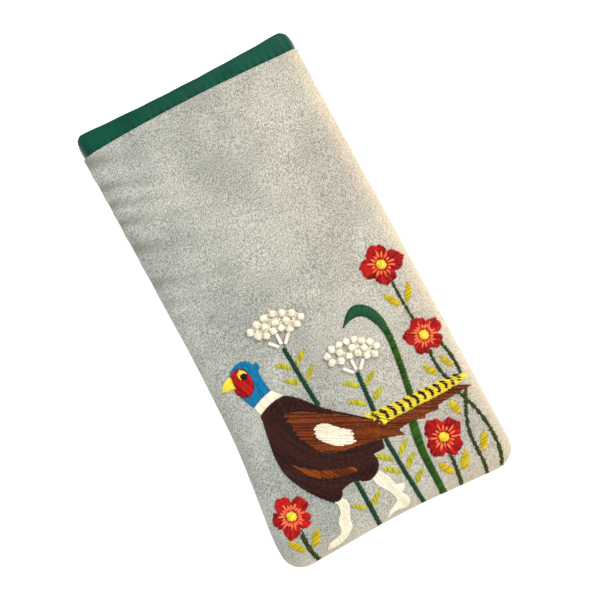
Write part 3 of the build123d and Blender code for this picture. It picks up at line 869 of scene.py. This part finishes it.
def thread_finish(name, deep, bright, shine=0.5, far=None):
    """Far gives the two tones at the far end, +Y, of a thread that is dyed to fade."""
    made, tree, shader = new_finish(name)
    shade = put(tree, "ShaderNodeAttribute", attribute_name="shade").outputs["Fac"]
    along = put(tree, "ShaderNodeAttribute", attribute_name="along").outputs["Fac"]
    around = put(tree, "ShaderNodeAttribute", attribute_name="around").outputs["Fac"]
    turns = put(tree, "ShaderNodeMath", {0: along, 1: 1 / TWIST, 2: around},
                operation="MULTIPLY_ADD").outputs[0]
    angle = put(tree, "ShaderNodeMath", {0: turns, 1: 4 * math.pi}, operation="MULTIPLY").outputs[0]
    ridge = put(tree, "ShaderNodeMath", {0: angle}, operation="SINE").outputs[0]
    tone = blend_colours(tree, shade, deep, bright)
    if far:
        where = put(tree, "ShaderNodeTexCoord").outputs["Object"]
        up = put(tree, "ShaderNodeSeparateXYZ", {0: where}).outputs[1]
        faded = blend_colours(tree, shade, far[0], far[1])
        tone = blend_colours(tree, ramp(tree, up, FADE_LOW, FADE_HIGH), tone, faded)
    # Painted shade: the grooves between the strands are darkened towards the deep tone.
    groove = ramp(tree, ridge, -1.0, 0.2)
    groove_shade_tone = blend_colours(tree, 0.35, tone, deep)
    tree.links.new(blend_colours(tree, groove, groove_shade_tone, tone), shader.inputs["Base Color"])
    bump = put(tree, "ShaderNodeBump", {"Height": ridge, "Strength": 0.4, "Distance": 0.05 * MM})
    tree.links.new(bump.outputs[0], shader.inputs["Normal"])
    shader.inputs["Roughness"].default_value = shine
    shader.inputs["Anisotropic"].default_value = 0.35
    shader.inputs["Sheen Weight"].default_value = 0.02
    shader.inputs["Specular IOR Level"].default_value = 0.14
    return made


# %% [markdown]
# The beads are ivory pearl: an opaque glassy body, and a clear coat that gives
# a small sharp highlight.  The wadding is matt white fibre.

# %% Beads and wadding
def pearl(name):
    made, tree, shader = new_finish(name)
    shade = put(tree, "ShaderNodeAttribute", attribute_name="shade").outputs["Fac"]
    where = put(tree, "ShaderNodeTexCoord").outputs["Object"]
    cloud = put(tree, "ShaderNodeTexNoise", {"Vector": where, "Scale": per(1.3), "Detail": 2.0}).outputs[0]
    tone = blend_colours(tree, shade, "D0C4A8", "E8E0CA")
    clouded = blend_colours(tree, ramp(tree, cloud, 0.3, 0.7), tone, "EDE7D6")
    tree.links.new(clouded, shader.inputs["Base Color"])
    shader.inputs["Roughness"].default_value = 0.3
    shader.inputs["Coat Weight"].default_value = 0.5
    shader.inputs["Coat Roughness"].default_value = 0.1
    shader.inputs["Sheen Weight"].default_value = 0.1
    return made


def fibre(name):
    made, tree, shader = new_finish(name)
    where = put(tree, "ShaderNodeTexCoord").outputs["Object"]
    tangle = put(tree, "ShaderNodeTexNoise", {"Vector": where, "Scale": per(1.5), "Detail": 5.0}).outputs[0]
    tree.links.new(blend_colours(tree, tangle, "DCD8CF", "F7F5F0"), shader.inputs["Base Color"])
    bump = put(tree, "ShaderNodeBump", {"Height": tangle, "Strength": 0.8, "Distance": 0.6 * MM})
    tree.links.new(bump.outputs[0], shader.inputs["Normal"])
    shader.inputs["Roughness"].default_value = 1.0
    return made


VELVET = velvet("cotton_velvet_grey")
BAND_SATIN = satin("band_satin_green", "013A2A", "024B39")
LINING_SATIN = satin("lining_satin_green", "083F30", "10705A")
PEARL = pearl("ivory_pearl")
FIBRE = fibre("white_wadding")
THREADS = {
    "thread_band": thread_finish("sewing_thread_green", "04402F", "0E6A52"),
    "thread_seam": thread_finish("sewing_thread_grey", "96928A", "B8B3AA"),
    "thread_blade": thread_finish("thread_blade_green", "1A3A09", "3A6A16", far=("08301F", "1C5A40")),
    "thread_green": thread_finish("thread_deep_green", "0C2F1A", "1D5031"),
    "thread_olive": thread_finish("thread_olive", "222C0A", "42521A"),
    "thread_lime": thread_finish("thread_yellow_green", "9C9614", "DCD43E"),
    "thread_mustard": thread_finish("thread_mustard", "A88F12", "E6CF28"),
    "thread_yellow": thread_finish("thread_yellow", "DCC322", "FBF05A"),
    "thread_brown": thread_finish("thread_dark_brown", "200B07", "46211A"),
    "thread_black": thread_finish("thread_near_black", "16080B", "2C1116"),
    "thread_red": thread_finish("thread_poppy_red", "760708", "D01A18"),
    "thread_coral": thread_finish("thread_coral", "E0502C", "FF8A5C"),
    "thread_blue": thread_finish("thread_blue", "04557F", "0A8FC4"),
    "thread_cream": thread_finish("thread_cream", "E2D9BE", "FAF5E4"),
    "thread_rust": thread_finish("thread_rust", "541F08", "91450F"),
    "thread_copper": thread_finish("thread_copper", "541F08", "9E4C10"),
}
CLOTHS = (
    (front_panel, back_panel, VELVET),
    (front_band, back_band, BAND_SATIN),
    (front_lining, back_lining, LINING_SATIN),
    (front_wadding, back_wadding, FIBRE),
)
for front, back, finish in CLOTHS:
    front.data.materials.append(finish)
    back.data.materials.append(finish)
print("finishes", len(bpy.data.materials))

# %% [markdown]
# Plain sewing first.  Each CAD stitch gives the middle and the way of a real
# one, so the topstitching is laid on the satin exactly there, and the seam
# thread lies in the valley between the panels.

# %% Topstitching and seams
SEWING_WIDTH = 0.42 * MM
SEAM_WIDTH = 0.3 * MM
TOPSTITCH_HALF = 1.15 * MM
SEAM_HALF = 1.2 * MM
SAME_POINT = 1e-6       # corners nearer than this are one


def loose_parts(name):
    """The separate solids of a CAD node, each as its points."""
    part = bmesh.new()
    part.from_mesh(nodes[name].data)
    bmesh.ops.remove_doubles(part, verts=part.verts, dist=SAME_POINT)
    part.verts.ensure_lookup_table()
    seen = set()
    found = []
    for start in part.verts:
        if start.index in seen:
            continue
        seen.add(start.index)
        queue = [start]
        for vertex in queue:
            for edge in vertex.link_edges:
                other = edge.other_vert(vertex)
                if other.index not in seen:
                    seen.add(other.index)
                    queue.append(other)
        found.append(np.array([v.co[:] for v in queue]))
    part.free()
    return found


def middle_and_way(points):
    """Middle of a long part, and the direction it runs in."""
    middle = (points.max(0) + points.min(0)) / 2
    _, _, axes = np.linalg.svd(points - points.mean(0))
    return Vector(middle), Vector(axes[0])


def band_stitches(side):
    name = "front_band_stitching" if side > 0 else "back_band_stitching"
    tree = band_surfaces[side]
    stitches = []
    for part in loose_parts(name):
        middle, way = middle_and_way(part)
        line = []
        for t, lift in ((-1, -0.22), (-0.7, 0.06), (0, 0.13), (0.7, 0.06), (1, -0.22)):
            at = middle + way * t * TOPSTITCH_HALF
            hit = tree.ray_cast(Vector((at.x, at.y, SEAM_Z + side * FAR)), Vector((0, 0, -side)))[0]
            line.append(Vector((at.x, at.y, hit.z + side * lift * MM)))
        stitches.append((line, chance.random()))
    new_name = name.replace("stitching", "topstitch")
    return thread_object(new_name, stitches, SEWING_WIDTH, THREADS["thread_band"], 6)


def seam_stitches():
    stitches = []
    for part in loose_parts("seam_stitching"):
        middle, way = middle_and_way(part)
        line = [middle + way * t * SEAM_HALF for t in (-1, -0.5, 0, 0.5, 1)]
        stitches.append((line, chance.random()))
    return thread_object("seam_thread", stitches, SEAM_WIDTH, THREADS["thread_seam"], 5)


front_topstitch = band_stitches(1)
back_topstitch = band_stitches(-1)
seam_thread = seam_stitches()
print("topstitch faces", len(front_topstitch.data.polygons))

# %% [markdown]
# The embroidery.  Each thread colour fills one area, and the CAD node of that
# area says where its edge is: its triangles are painted into a fine map of
# yes and no.  Threads are then laid over the map like hatching, along lines,
# along rays from a flower's eye, or along arcs that follow the bird's breast.
# A short run across the area is one satin stitch; a long one is broken into
# long and short stitches that bite into each other.  Under the threads lies a
# bed of padding in the same thread, as embroiderers lay it.  It takes the
# thread's deepest tone, so that the gaps between the stitches show a painted
# shade.

# %% Maps of the worked areas
CELL = 0.08 * MM


class Area:
    """A worked area seen from above, as a map of small cells."""

    def __init__(self, name):
        points, triangles = cad_arrays(name)
        corners = points[triangles][..., :2]
        self.low = points[:, :2].min(0) - 2 * CELL
        self.high = points[:, :2].max(0) + 2 * CELL
        size = np.ceil((self.high - self.low) / CELL).astype(int) + 1
        self.cells = np.zeros(size, dtype=bool)
        for triangle in corners:
            self.paint(triangle)

    def paint(self, triangle):
        a, b, c = triangle
        turn = (b[0] - a[0]) * (c[1] - a[1]) - (b[1] - a[1]) * (c[0] - a[0])
        if abs(turn) < 1e-12:
            return
        first = np.floor((triangle.min(0) - self.low) / CELL).astype(int)
        last = np.ceil((triangle.max(0) - self.low) / CELL).astype(int) + 1
        xs = self.low[0] + CELL * np.arange(first[0], last[0])
        ys = self.low[1] + CELL * np.arange(first[1], last[1])
        x, y = np.meshgrid(xs, ys, indexing="ij")
        s = ((b[0] - x) * (c[1] - y) - (b[1] - y) * (c[0] - x)) / turn
        t = ((c[0] - x) * (a[1] - y) - (c[1] - y) * (a[0] - x)) / turn
        inside = (s >= 0) & (t >= 0) & (s + t <= 1)
        self.cells[first[0]:last[0], first[1]:last[1]] |= inside

    def holds(self, points):
        at = np.round((points - self.low) / CELL).astype(int)
        ok = ((at >= 0) & (at < self.cells.shape)).all(1)
        at[~ok] = 0
        return self.cells[at[:, 0], at[:, 1]] & ok

    def spot(self, across, up):
        """A place given as shares of the area's box."""
        return self.low + (self.high - self.low) * (across, up)


# %% Hatching
STEP = 0.1 * MM
NEW_SHADE = 0.45        # chance that the next line of stitches is in a new shade
BED_MARGIN = 0.24 * MM  # padding stops short of a lone area's edge
BED_OVERLAP = 0.16 * MM     # and runs under its neighbours in the bird
BED_CELLS = 3           # its faces are this many cells wide
BED_T = 0.4 * MM


def straight(area, degrees, pitch):
    """Parallel lines over an area."""
    way = np.array((math.cos(math.radians(degrees)), math.sin(math.radians(degrees))))
    side = np.array((-way[1], way[0]))
    middle = (area.low + area.high) / 2
    reach = np.linalg.norm(area.high - area.low) / 2
    steps = np.arange(-reach, reach, STEP)
    for offset in np.arange(-reach, reach, pitch):
        start = middle + side * (offset + chance.uniform(-0.15, 0.15) * pitch)
        yield start + np.outer(steps, way + side * chance.uniform(-0.03, 0.03))


def farthest(area, pivot):
    """How far the corners of an area's box are from a point."""
    return max(np.linalg.norm(np.array((x, y)) - pivot)
               for x in (area.low[0], area.high[0]) for y in (area.low[1], area.high[1]))


def rays(area, pivot, pitch):
    """Lines out from a point.  Every other line starts half-way out, where there is room for it."""
    reach = farthest(area, pivot)
    count = int(2 * math.pi * 0.62 * reach / pitch)
    for i in range(count):
        angle = 2 * math.pi * (i + chance.uniform(-0.2, 0.2)) / count
        steps = np.arange(0.34 * reach * (i % 2), reach, STEP)
        yield pivot + np.outer(steps, (math.cos(angle), math.sin(angle)))


def arcs(area, pivot, pitch):
    """Arcs round a point."""
    for radius in np.arange(pitch, farthest(area, pivot), pitch):
        radius += chance.uniform(-0.15, 0.15) * pitch
        angles = np.arange(math.pi * 0.45, math.pi * 2.2, STEP / radius)
        yield pivot + radius * np.stack([np.cos(angles), np.sin(angles)], axis=1)


def runs_inside(area, line):
    """The stretches of a line that lie on the area."""
    inside = area.holds(line)
    change = np.flatnonzero(np.diff(np.concatenate([[0], inside.astype(int), [0]])))
    return [(a, b - 1) for a, b in zip(change[::2], change[1::2]) if b - a > 2]


def broken(first, last, longest, ragged):
    """Cuts a run of steps into stitches, each with its first and last step."""
    length = (last - first) * STEP
    fuzz = ragged / STEP
    first -= chance.uniform(0, fuzz)
    last += chance.uniform(0, fuzz)
    if length <= longest:
        return [(first, last)]
    pieces = []
    size = longest * 0.62 / STEP
    cut = first + size * chance.uniform(0.35, 1.0)
    start = first
    while cut < last - 0.35 * size:
        pieces.append((start, cut + size * chance.uniform(0.08, 0.25)))
        start = cut - size * chance.uniform(0.08, 0.25)
        cut += size * chance.uniform(0.8, 1.2)
    pieces.append((start, last))
    return pieces


# %% Laying the threads
DIVE = 0.2 * MM         # a stitch's ends go this far into the cloth


def laid(line, first, last, lift, plump):
    """One stitch on the cloth: it leaves the velvet, arches a little and goes back in."""
    count = 4 if (last - first) * STEP < 1.6 * MM else 6
    points = []
    for t in np.linspace(0, 1, count):
        at = first + (last - first) * t
        low = int(np.clip(math.floor(at), 0, len(line) - 2))
        x, y = line[low] + (line[low + 1] - line[low]) * (at - low)
        arch = 1 - abs(2 * t - 1) ** 3
        points.append(Vector((x, y, on_front(x, y) + lift - DIVE + (plump + DIVE) * arch)))
    return points


def fill(area, hatch, longest, ragged, lift, plump, mixed):
    """All the stitches of an area.  A few neighbours share a shade, as from one length of thread."""
    stitches = []
    shade = 0.5
    for line in hatch:
        if chance.random() < NEW_SHADE:
            shade = 0.5 + mixed * chance.uniform(-0.5, 0.5)
        for first, last in runs_inside(area, line):
            for start, end in broken(first, last, longest, ragged):
                raised = lift + chance.uniform(0, 0.1) * MM
                tone = min(max(shade + chance.uniform(-0.5, 0.5) * (0.3 + 0.4 * mixed), 0), 1)
                stitches.append((laid(line, start, end, raised, plump), tone))
    return stitches


def padding_and_gap_shade(name, lift, thread):
    """Padding under the stitches, in the same thread, so that no velvet shows between them.  It has no shade
    of its own, so it takes the thread's deepest tone: a painted shade in the gaps between the stitches.
    """
    area = AREAS[name]
    cells = area.cells.copy()
    sides = (cells[:-2, 1:-1], cells[2:, 1:-1], cells[1:-1, :-2], cells[1:-1, 2:])
    if name.startswith("pheasant_"):
        for _ in range(round(BED_OVERLAP / CELL)):
            cells[1:-1, 1:-1] |= np.logical_or.reduce(sides)
    else:
        for _ in range(round(BED_MARGIN / CELL)):
            cells[1:-1, 1:-1] &= np.logical_and.reduce(sides)
    columns, rows = (np.array(cells.shape) - 1) // BED_CELLS
    points = {}
    faces = []
    for i in range(columns):
        for j in range(rows):
            a, b = i * BED_CELLS, j * BED_CELLS
            if cells[a:a + BED_CELLS + 1, b:b + BED_CELLS + 1].all():
                corners = ((i, j), (i + 1, j), (i + 1, j + 1), (i, j + 1))
                faces.append([points.setdefault(corner, len(points)) for corner in corners])
    spots = [area.low + np.array(corner) * BED_CELLS * CELL for corner in points]
    made = mesh_object(name + "_bed", [(x, y, on_front(x, y) + lift) for x, y in spots], faces)
    # Painted shade: the padding has no shade attribute, so the thread finish gives it its deepest tone,
    # which shows in the gaps between the stitches.
    made.data.materials.append(thread)
    return thicken(smooth(made), BED_T)


def joined(main, extra):
    """Two meshes as one piece."""
    with bpy.context.temp_override(active_object=main, object=main, selected_editable_objects=[main, extra]):
        bpy.ops.object.join()
    return main


# %% [markdown]
# The table says, for each worked area, how its threads run: the hatching, the
# longest stitch, how ragged the ends are and how plump the stitches stand.
# Stems and blades are satin stitch across; petals are rays; the bird is long
# and short stitch.

# %% How each area is worked
THREAD_WIDTH = 0.5 * MM
PITCH = 0.42 * MM
CLOSE = 0.35 * MM       # leaves are worked closer
SECOND = 0.56 * MM      # height of thread that is worked over thread

record = frame["record"]
slot_of = {s["node"]: s["material_slot"] for s in record["subparts"]}
AREAS = {n: Area(n) for n in nodes if n.startswith(("pheasant_", "poppy_", "umbel_", "grass_"))
         and not n.endswith("_beads")}


def lines_at(degrees, pitch=PITCH):
    return lambda area: straight(area, degrees, pitch)


def rays_about(eye):
    return lambda area: rays(area, (AREAS[eye].low + AREAS[eye].high) / 2, PITCH)


def breast_arcs(area):
    return arcs(area, area.spot(0.92, 0.93), PITCH)


def blade_hatch(area):
    """Across the blade: level lines below the hook, rays about its inside above."""
    hook = area.spot(0.45, 0.865)
    for line in straight(area, 6, PITCH):
        yield line[line[:, 1] < hook[1]]
    for line in rays(area, hook, PITCH * 0.8):
        yield line[line[:, 1] >= hook[1]]


SHORT = 2.8 * MM        # the longest stitch: short, long, or right across
LONG = 3.8 * MM
SATIN = 9.0 * MM
SOFT_EDGE = 0.18 * MM   # how far the ends of stitches pass the edge
RAGGED = 0.7 * MM
WORK = {
    "pheasant_body": (breast_arcs, LONG, SOFT_EDGE, 0.3),
    "pheasant_wing_and_tail": (lines_at(-27), SHORT, RAGGED, 0.3),
    "pheasant_wing_patch": (lines_at(-29), LONG, RAGGED, 0.36),
    "pheasant_flank_streak": (lines_at(-58), LONG, RAGGED, 0.34),
    "pheasant_neck_ring": (lines_at(-78), LONG, SOFT_EDGE, 0.3),
    "pheasant_head": (lines_at(-86), LONG, SOFT_EDGE, 0.3),
    "pheasant_face": (lines_at(-72), LONG, SOFT_EDGE, 0.34),
    "pheasant_beak": (lines_at(24), SATIN, 0.08 * MM, 0.36),
    "pheasant_eye_ring": (lines_at(4), SATIN, 0.05 * MM, 0.4),
    "pheasant_eye_pupil": (lines_at(88), SATIN, 0.05 * MM, 0.46),
    "pheasant_tail_upper": (lines_at(-40), SATIN, SOFT_EDGE, 0.34),
    "pheasant_near_leg": (lines_at(-100), LONG, SOFT_EDGE, 0.26),
    "pheasant_far_leg": (lines_at(-80), LONG, SOFT_EDGE, 0.26),
    "pheasant_tail_bars": (lines_at(-22), SATIN, 0.3 * MM, 0.3),
    "grass_blade": (blade_hatch, SATIN, 0.12 * MM, 0.42),
    "umbel_left_stem": (lines_at(12), SATIN, 0.12 * MM, 0.38),
    "umbel_right_stem": (lines_at(12), SATIN, 0.12 * MM, 0.38),
    "umbel_left_leaves": (lines_at(78, CLOSE), SATIN, 0.14 * MM, 0.3),
    "umbel_right_leaves": (lines_at(78, CLOSE), SATIN, 0.14 * MM, 0.3),
    "poppy_stems": (lines_at(14), SATIN, 0.12 * MM, 0.38),
    "poppy_leaves": (lines_at(8, CLOSE), SATIN, 0.14 * MM, 0.32),
}
for poppy in ("poppy_top", "poppy_side", "poppy_right", "poppy_left"):
    WORK[poppy + "_petals"] = (rays_about(poppy + "_eye"), LONG, 0.3 * MM, 0.34)
    WORK[poppy + "_streaks"] = (rays_about(poppy + "_eye"), SATIN, 0.3 * MM, 0.3)
    WORK[poppy + "_eye"] = (lines_at(35), SATIN, 0.3 * MM, 0.6)
print("worked areas", len(WORK), "of", len(AREAS))

# %% Work the embroidery
MIXED = {               # how much the shade of a thread varies, where it isn't plain
    "thread_red": 0.9, "thread_rust": 0.7, "thread_copper": 1.0, "thread_brown": 0.5,
    "thread_blue": 0.6, "thread_blade": 0.6, "thread_cream": 0.6,
}
PLAIN = 0.3
worked = {}
for name, (hatch, longest, ragged, plump) in WORK.items():
    area = AREAS[name]
    over = name.endswith(("_streaks", "_bars"))
    lift = SECOND if over else 0.0
    mixed = MIXED.get(slot_of[name], PLAIN)
    stitches = fill(area, hatch(area), longest, ragged, lift, plump * MM, mixed)
    thread = THREADS[slot_of[name]]
    piece = thread_object(name + "_stitches", stitches, THREAD_WIDTH, thread)
    if not over:
        bed_lift = (0.3 if name.endswith("_eye") else chance.uniform(0.1, 0.14)) * MM
        piece = joined(piece, padding_and_gap_shade(name, bed_lift, thread))
    worked[name] = piece
    print(f"{name}: {len(stitches)} stitches, {len(piece.data.polygons)} faces")

# %% [markdown]
# The round beads are short tubes of glass with rounded rims, and the bugle
# beads are long thin ones, so one tree makes both: a section of the wall is
# carried round a circle, set at each bead's place and turned its way.  The
# cream thread that holds them runs over the velvet between them.

# %% The bead tree
def bead_tree():
    tree = bpy.data.node_groups.new("beads", "GeometryNodeTree")
    face = tree.interface
    face.new_socket("Geometry", in_out="OUTPUT", socket_type="NodeSocketGeometry")
    face.new_socket("Places", in_out="INPUT", socket_type="NodeSocketGeometry")
    for name in ("Hole radius", "Wall", "Length", "Rim radius"):
        face.new_socket(name, in_out="INPUT", socket_type="NodeSocketFloat")
    face.new_socket("Sides", in_out="INPUT", socket_type="NodeSocketInt")
    face.new_socket("Glass", in_out="INPUT", socket_type="NodeSocketMaterial")
    given = put(tree, "NodeGroupInput").outputs
    half = put(tree, "ShaderNodeMath", {0: given["Wall"], 1: 0.5}, operation="MULTIPLY")
    middle = put(tree, "ShaderNodeMath", {0: given["Hole radius"], 1: half.outputs[0]}, operation="ADD")
    circle = put(tree, "GeometryNodeCurvePrimitiveCircle", {
        "Resolution": given["Sides"], "Radius": middle.outputs[0]})
    section = put(tree, "GeometryNodeCurvePrimitiveQuadrilateral", {
        "Width": given["Wall"], "Height": given["Length"]})
    rounded = put(tree, "GeometryNodeFilletCurve", {
        "Curve": section.outputs["Curve"], "Count": 4, "Radius": given["Rim radius"],
        "Limit Radius": True}, mode="POLY")
    bead = put(tree, "GeometryNodeCurveToMesh", {
        "Curve": circle.outputs["Curve"], "Profile Curve": rounded.outputs["Curve"]})
    turn = put(tree, "GeometryNodeInputNamedAttribute", {"Name": "turn"}, data_type="FLOAT_VECTOR")
    placed = put(tree, "GeometryNodeInstanceOnPoints", {
        "Points": given["Places"], "Instance": bead.outputs["Mesh"], "Rotation": turn.outputs[0]})
    soft = put(tree, "GeometryNodeSetShadeSmooth", {"Geometry": placed.outputs["Instances"]})
    real = put(tree, "GeometryNodeRealizeInstances", {"Geometry": soft.outputs["Geometry"]})
    coloured = put(tree, "GeometryNodeSetMaterial", {
        "Geometry": real.outputs["Geometry"], "Material": given["Glass"]})
    put(tree, "NodeGroupOutput", {"Geometry": coloured.outputs["Geometry"]})
    return tree


BEADS = bead_tree()
print("bead tree inputs", [i.name for i in BEADS.interface.items_tree if i.in_out == "INPUT"])

# %% Beads and their sewing
ROUND_D = 2.6 * MM
ROUND_L = 2.25 * MM
ROUND_RIM = 0.85 * MM
ROUND_SUNK = 0.35 * MM  # the pile closes round the beads' undersides
BUGLE_D = 1.35 * MM
BUGLE_L = 4.2 * MM
BUGLE_RIM = 0.12 * MM
BUGLE_SUNK = 0.1 * MM
HOLE_R = 0.3 * MM
BEAD_REACH = 4.6 * MM   # beads nearer than this are joined by the sewing thread


def bead_object(name, places, turns, **sizes):
    made = mesh_object(name, places)
    made.data.attributes.new("turn", "FLOAT_VECTOR", "POINT").data.foreach_set(
        "vector", [value for turn in turns for value in turn])
    shades = [chance.random() for _ in places]
    made.data.attributes.new("shade", "FLOAT", "POINT").data.foreach_set("value", shades)
    return grow(made, BEADS, Glass=PEARL, **sizes)


def round_beads(umbel):
    places = []
    turns = []
    for part in loose_parts(umbel + "_round_beads"):
        middle, _ = middle_and_way(part)
        places.append((middle.x, middle.y, on_front(middle.x, middle.y) + ROUND_D / 2 - ROUND_SUNK))
        turns.append((math.radians(chance.uniform(55, 105)), math.radians(chance.uniform(-20, 20)),
                      chance.uniform(0, math.pi)))
    return bead_object(umbel + "_pearls", places, turns, Hole_radius=HOLE_R, Wall=ROUND_D / 2 - HOLE_R,
                       Length=ROUND_L, Rim_radius=ROUND_RIM, Sides=18)


def bugle_beads(umbel):
    places = []
    turns = []
    for part in loose_parts(umbel + "_bugle_beads"):
        middle, way = middle_and_way(part)
        places.append((middle.x, middle.y, on_front(middle.x, middle.y) + BUGLE_D / 2 - BUGLE_SUNK))
        turns.append((math.radians(90), 0, math.atan2(way.y, way.x) + math.pi / 2))
    return bead_object(umbel + "_bugles", places, turns, Hole_radius=HOLE_R, Wall=BUGLE_D / 2 - HOLE_R,
                       Length=BUGLE_L, Rim_radius=BUGLE_RIM, Sides=14)


def bead_sewing(umbel):
    """The cream thread that the beads are sewn on with.  It runs from bead to bead and fills the gaps."""
    centres = [middle_and_way(part)[0] for part in loose_parts(umbel + "_round_beads")]
    stitches = []
    for i, one in enumerate(centres):
        for other in centres[i + 1:]:
            if (other.xy - one.xy).length > BEAD_REACH:
                continue
            side = (other.xy - one.xy).normalized().orthogonal()
            for offset in (-0.5, 0.05, 0.6):
                line = []
                for t in np.linspace(0, 1, 5):
                    at = one.xy.lerp(other.xy, t) + side * (offset + chance.uniform(-0.1, 0.1)) * MM
                    line.append(Vector((at.x, at.y, on_front(at.x, at.y) + 0.3 * MM * (1 - abs(2 * t - 1)))))
                stitches.append((line, chance.random()))
    made = thread_object(umbel + "_bead_sewing", stitches, THREAD_WIDTH, THREADS["thread_cream"])
    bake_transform(made)


for umbel in ("umbel_left", "umbel_right"):
    bead_sewing(umbel)
    worked[umbel + "_round_beads"] = round_beads(umbel)
    worked[umbel + "_bugle_beads"] = bugle_beads(umbel)
print("beads made")

# %% [markdown]
# Each piece takes the place of its CAD node: the node is hidden, and the
# piece's transform is baked into its mesh.


def settle(piece, node, slot):
    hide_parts(node)
    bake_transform(piece)


settle(front_panel, "front_panel", "velvet")
settle(back_panel, "back_panel", "velvet")
settle(front_lining, "front_lining", "lining_satin")
settle(back_lining, "back_lining", "lining_satin")
settle(front_wadding, "front_wadding", "wadding")
settle(back_wadding, "back_wadding", "wadding")
settle(front_band, "front_mouth_band", "band_satin")
settle(back_band, "back_mouth_band", "band_satin")
settle(front_topstitch, "front_band_stitching", "thread_band")
settle(back_topstitch, "back_band_stitching", "thread_band")
settle(seam_thread, "seam_stitching", "thread_seam")
for name, piece in worked.items():
    settle(piece, name, slot_of[name])

# %% [markdown]
# The light is plain and soft: an even pale sky, a broad lamp high on the
# right, and a lower warm one from the right that runs along the velvet's edge.
# The floor is a plain white sheet that glows a little, as on a light table.

# %% Floor and light
FLOOR_GLOW = 0.6        # the white floor is lit from below as well, so that it holds no shadow
FLOOR_SIZE = 3.0        # metres, from the middle to each side
FLOOR_DROP = 0.15 * MM
SKY_STRENGTH = 0.8


def floor():
    corners = [(x * FLOOR_SIZE, y * FLOOR_SIZE, 0) for x, y in ((-1, -1), (1, -1), (1, 1), (-1, 1))]
    made = mesh_object("floor", corners, [(0, 1, 2, 3)])
    made.location.z = -FLOOR_DROP
    plain, tree, shader = new_finish("white_paper")
    shader.inputs["Base Color"].default_value = colour("F8F8F8")
    shader.inputs["Roughness"].default_value = 0.9
    shader.inputs["Emission Color"].default_value = colour("FFFFFF")
    shader.inputs["Emission Strength"].default_value = FLOOR_GLOW
    made.data.materials.append(plain)


def lamp(name, place, aim, size, watts, tint):
    data = bpy.data.lights.new(name, "AREA")
    data.energy = watts
    data.size = size
    data.color = colour(tint)[:3]
    made = bpy.data.objects.new(name, data)
    bpy.context.scene.collection.objects.link(made)
    made.location = place
    made.rotation_euler = (Vector(aim) - Vector(place)).to_track_quat("-Z", "Y").to_euler()


def sky(strength):
    world = bpy.data.worlds.new("pale_sky")
    world.use_nodes = True
    background = world.node_tree.nodes["Background"]
    background.inputs["Color"].default_value = colour("FFFFFF")
    background.inputs["Strength"].default_value = strength
    bpy.context.scene.world = world


floor()
sky(SKY_STRENGTH)
lamp("soft_key", (0.5, 0.22, 0.85), (0, 0, 0), 0.6, 8, "FFFFFF")
lamp("warm_side", (0.75, -0.2, 0.2), (0, 0, 0.006), 0.3, 1.2, "FFD29A")
bpy.context.scene.view_settings.view_transform = "Standard"
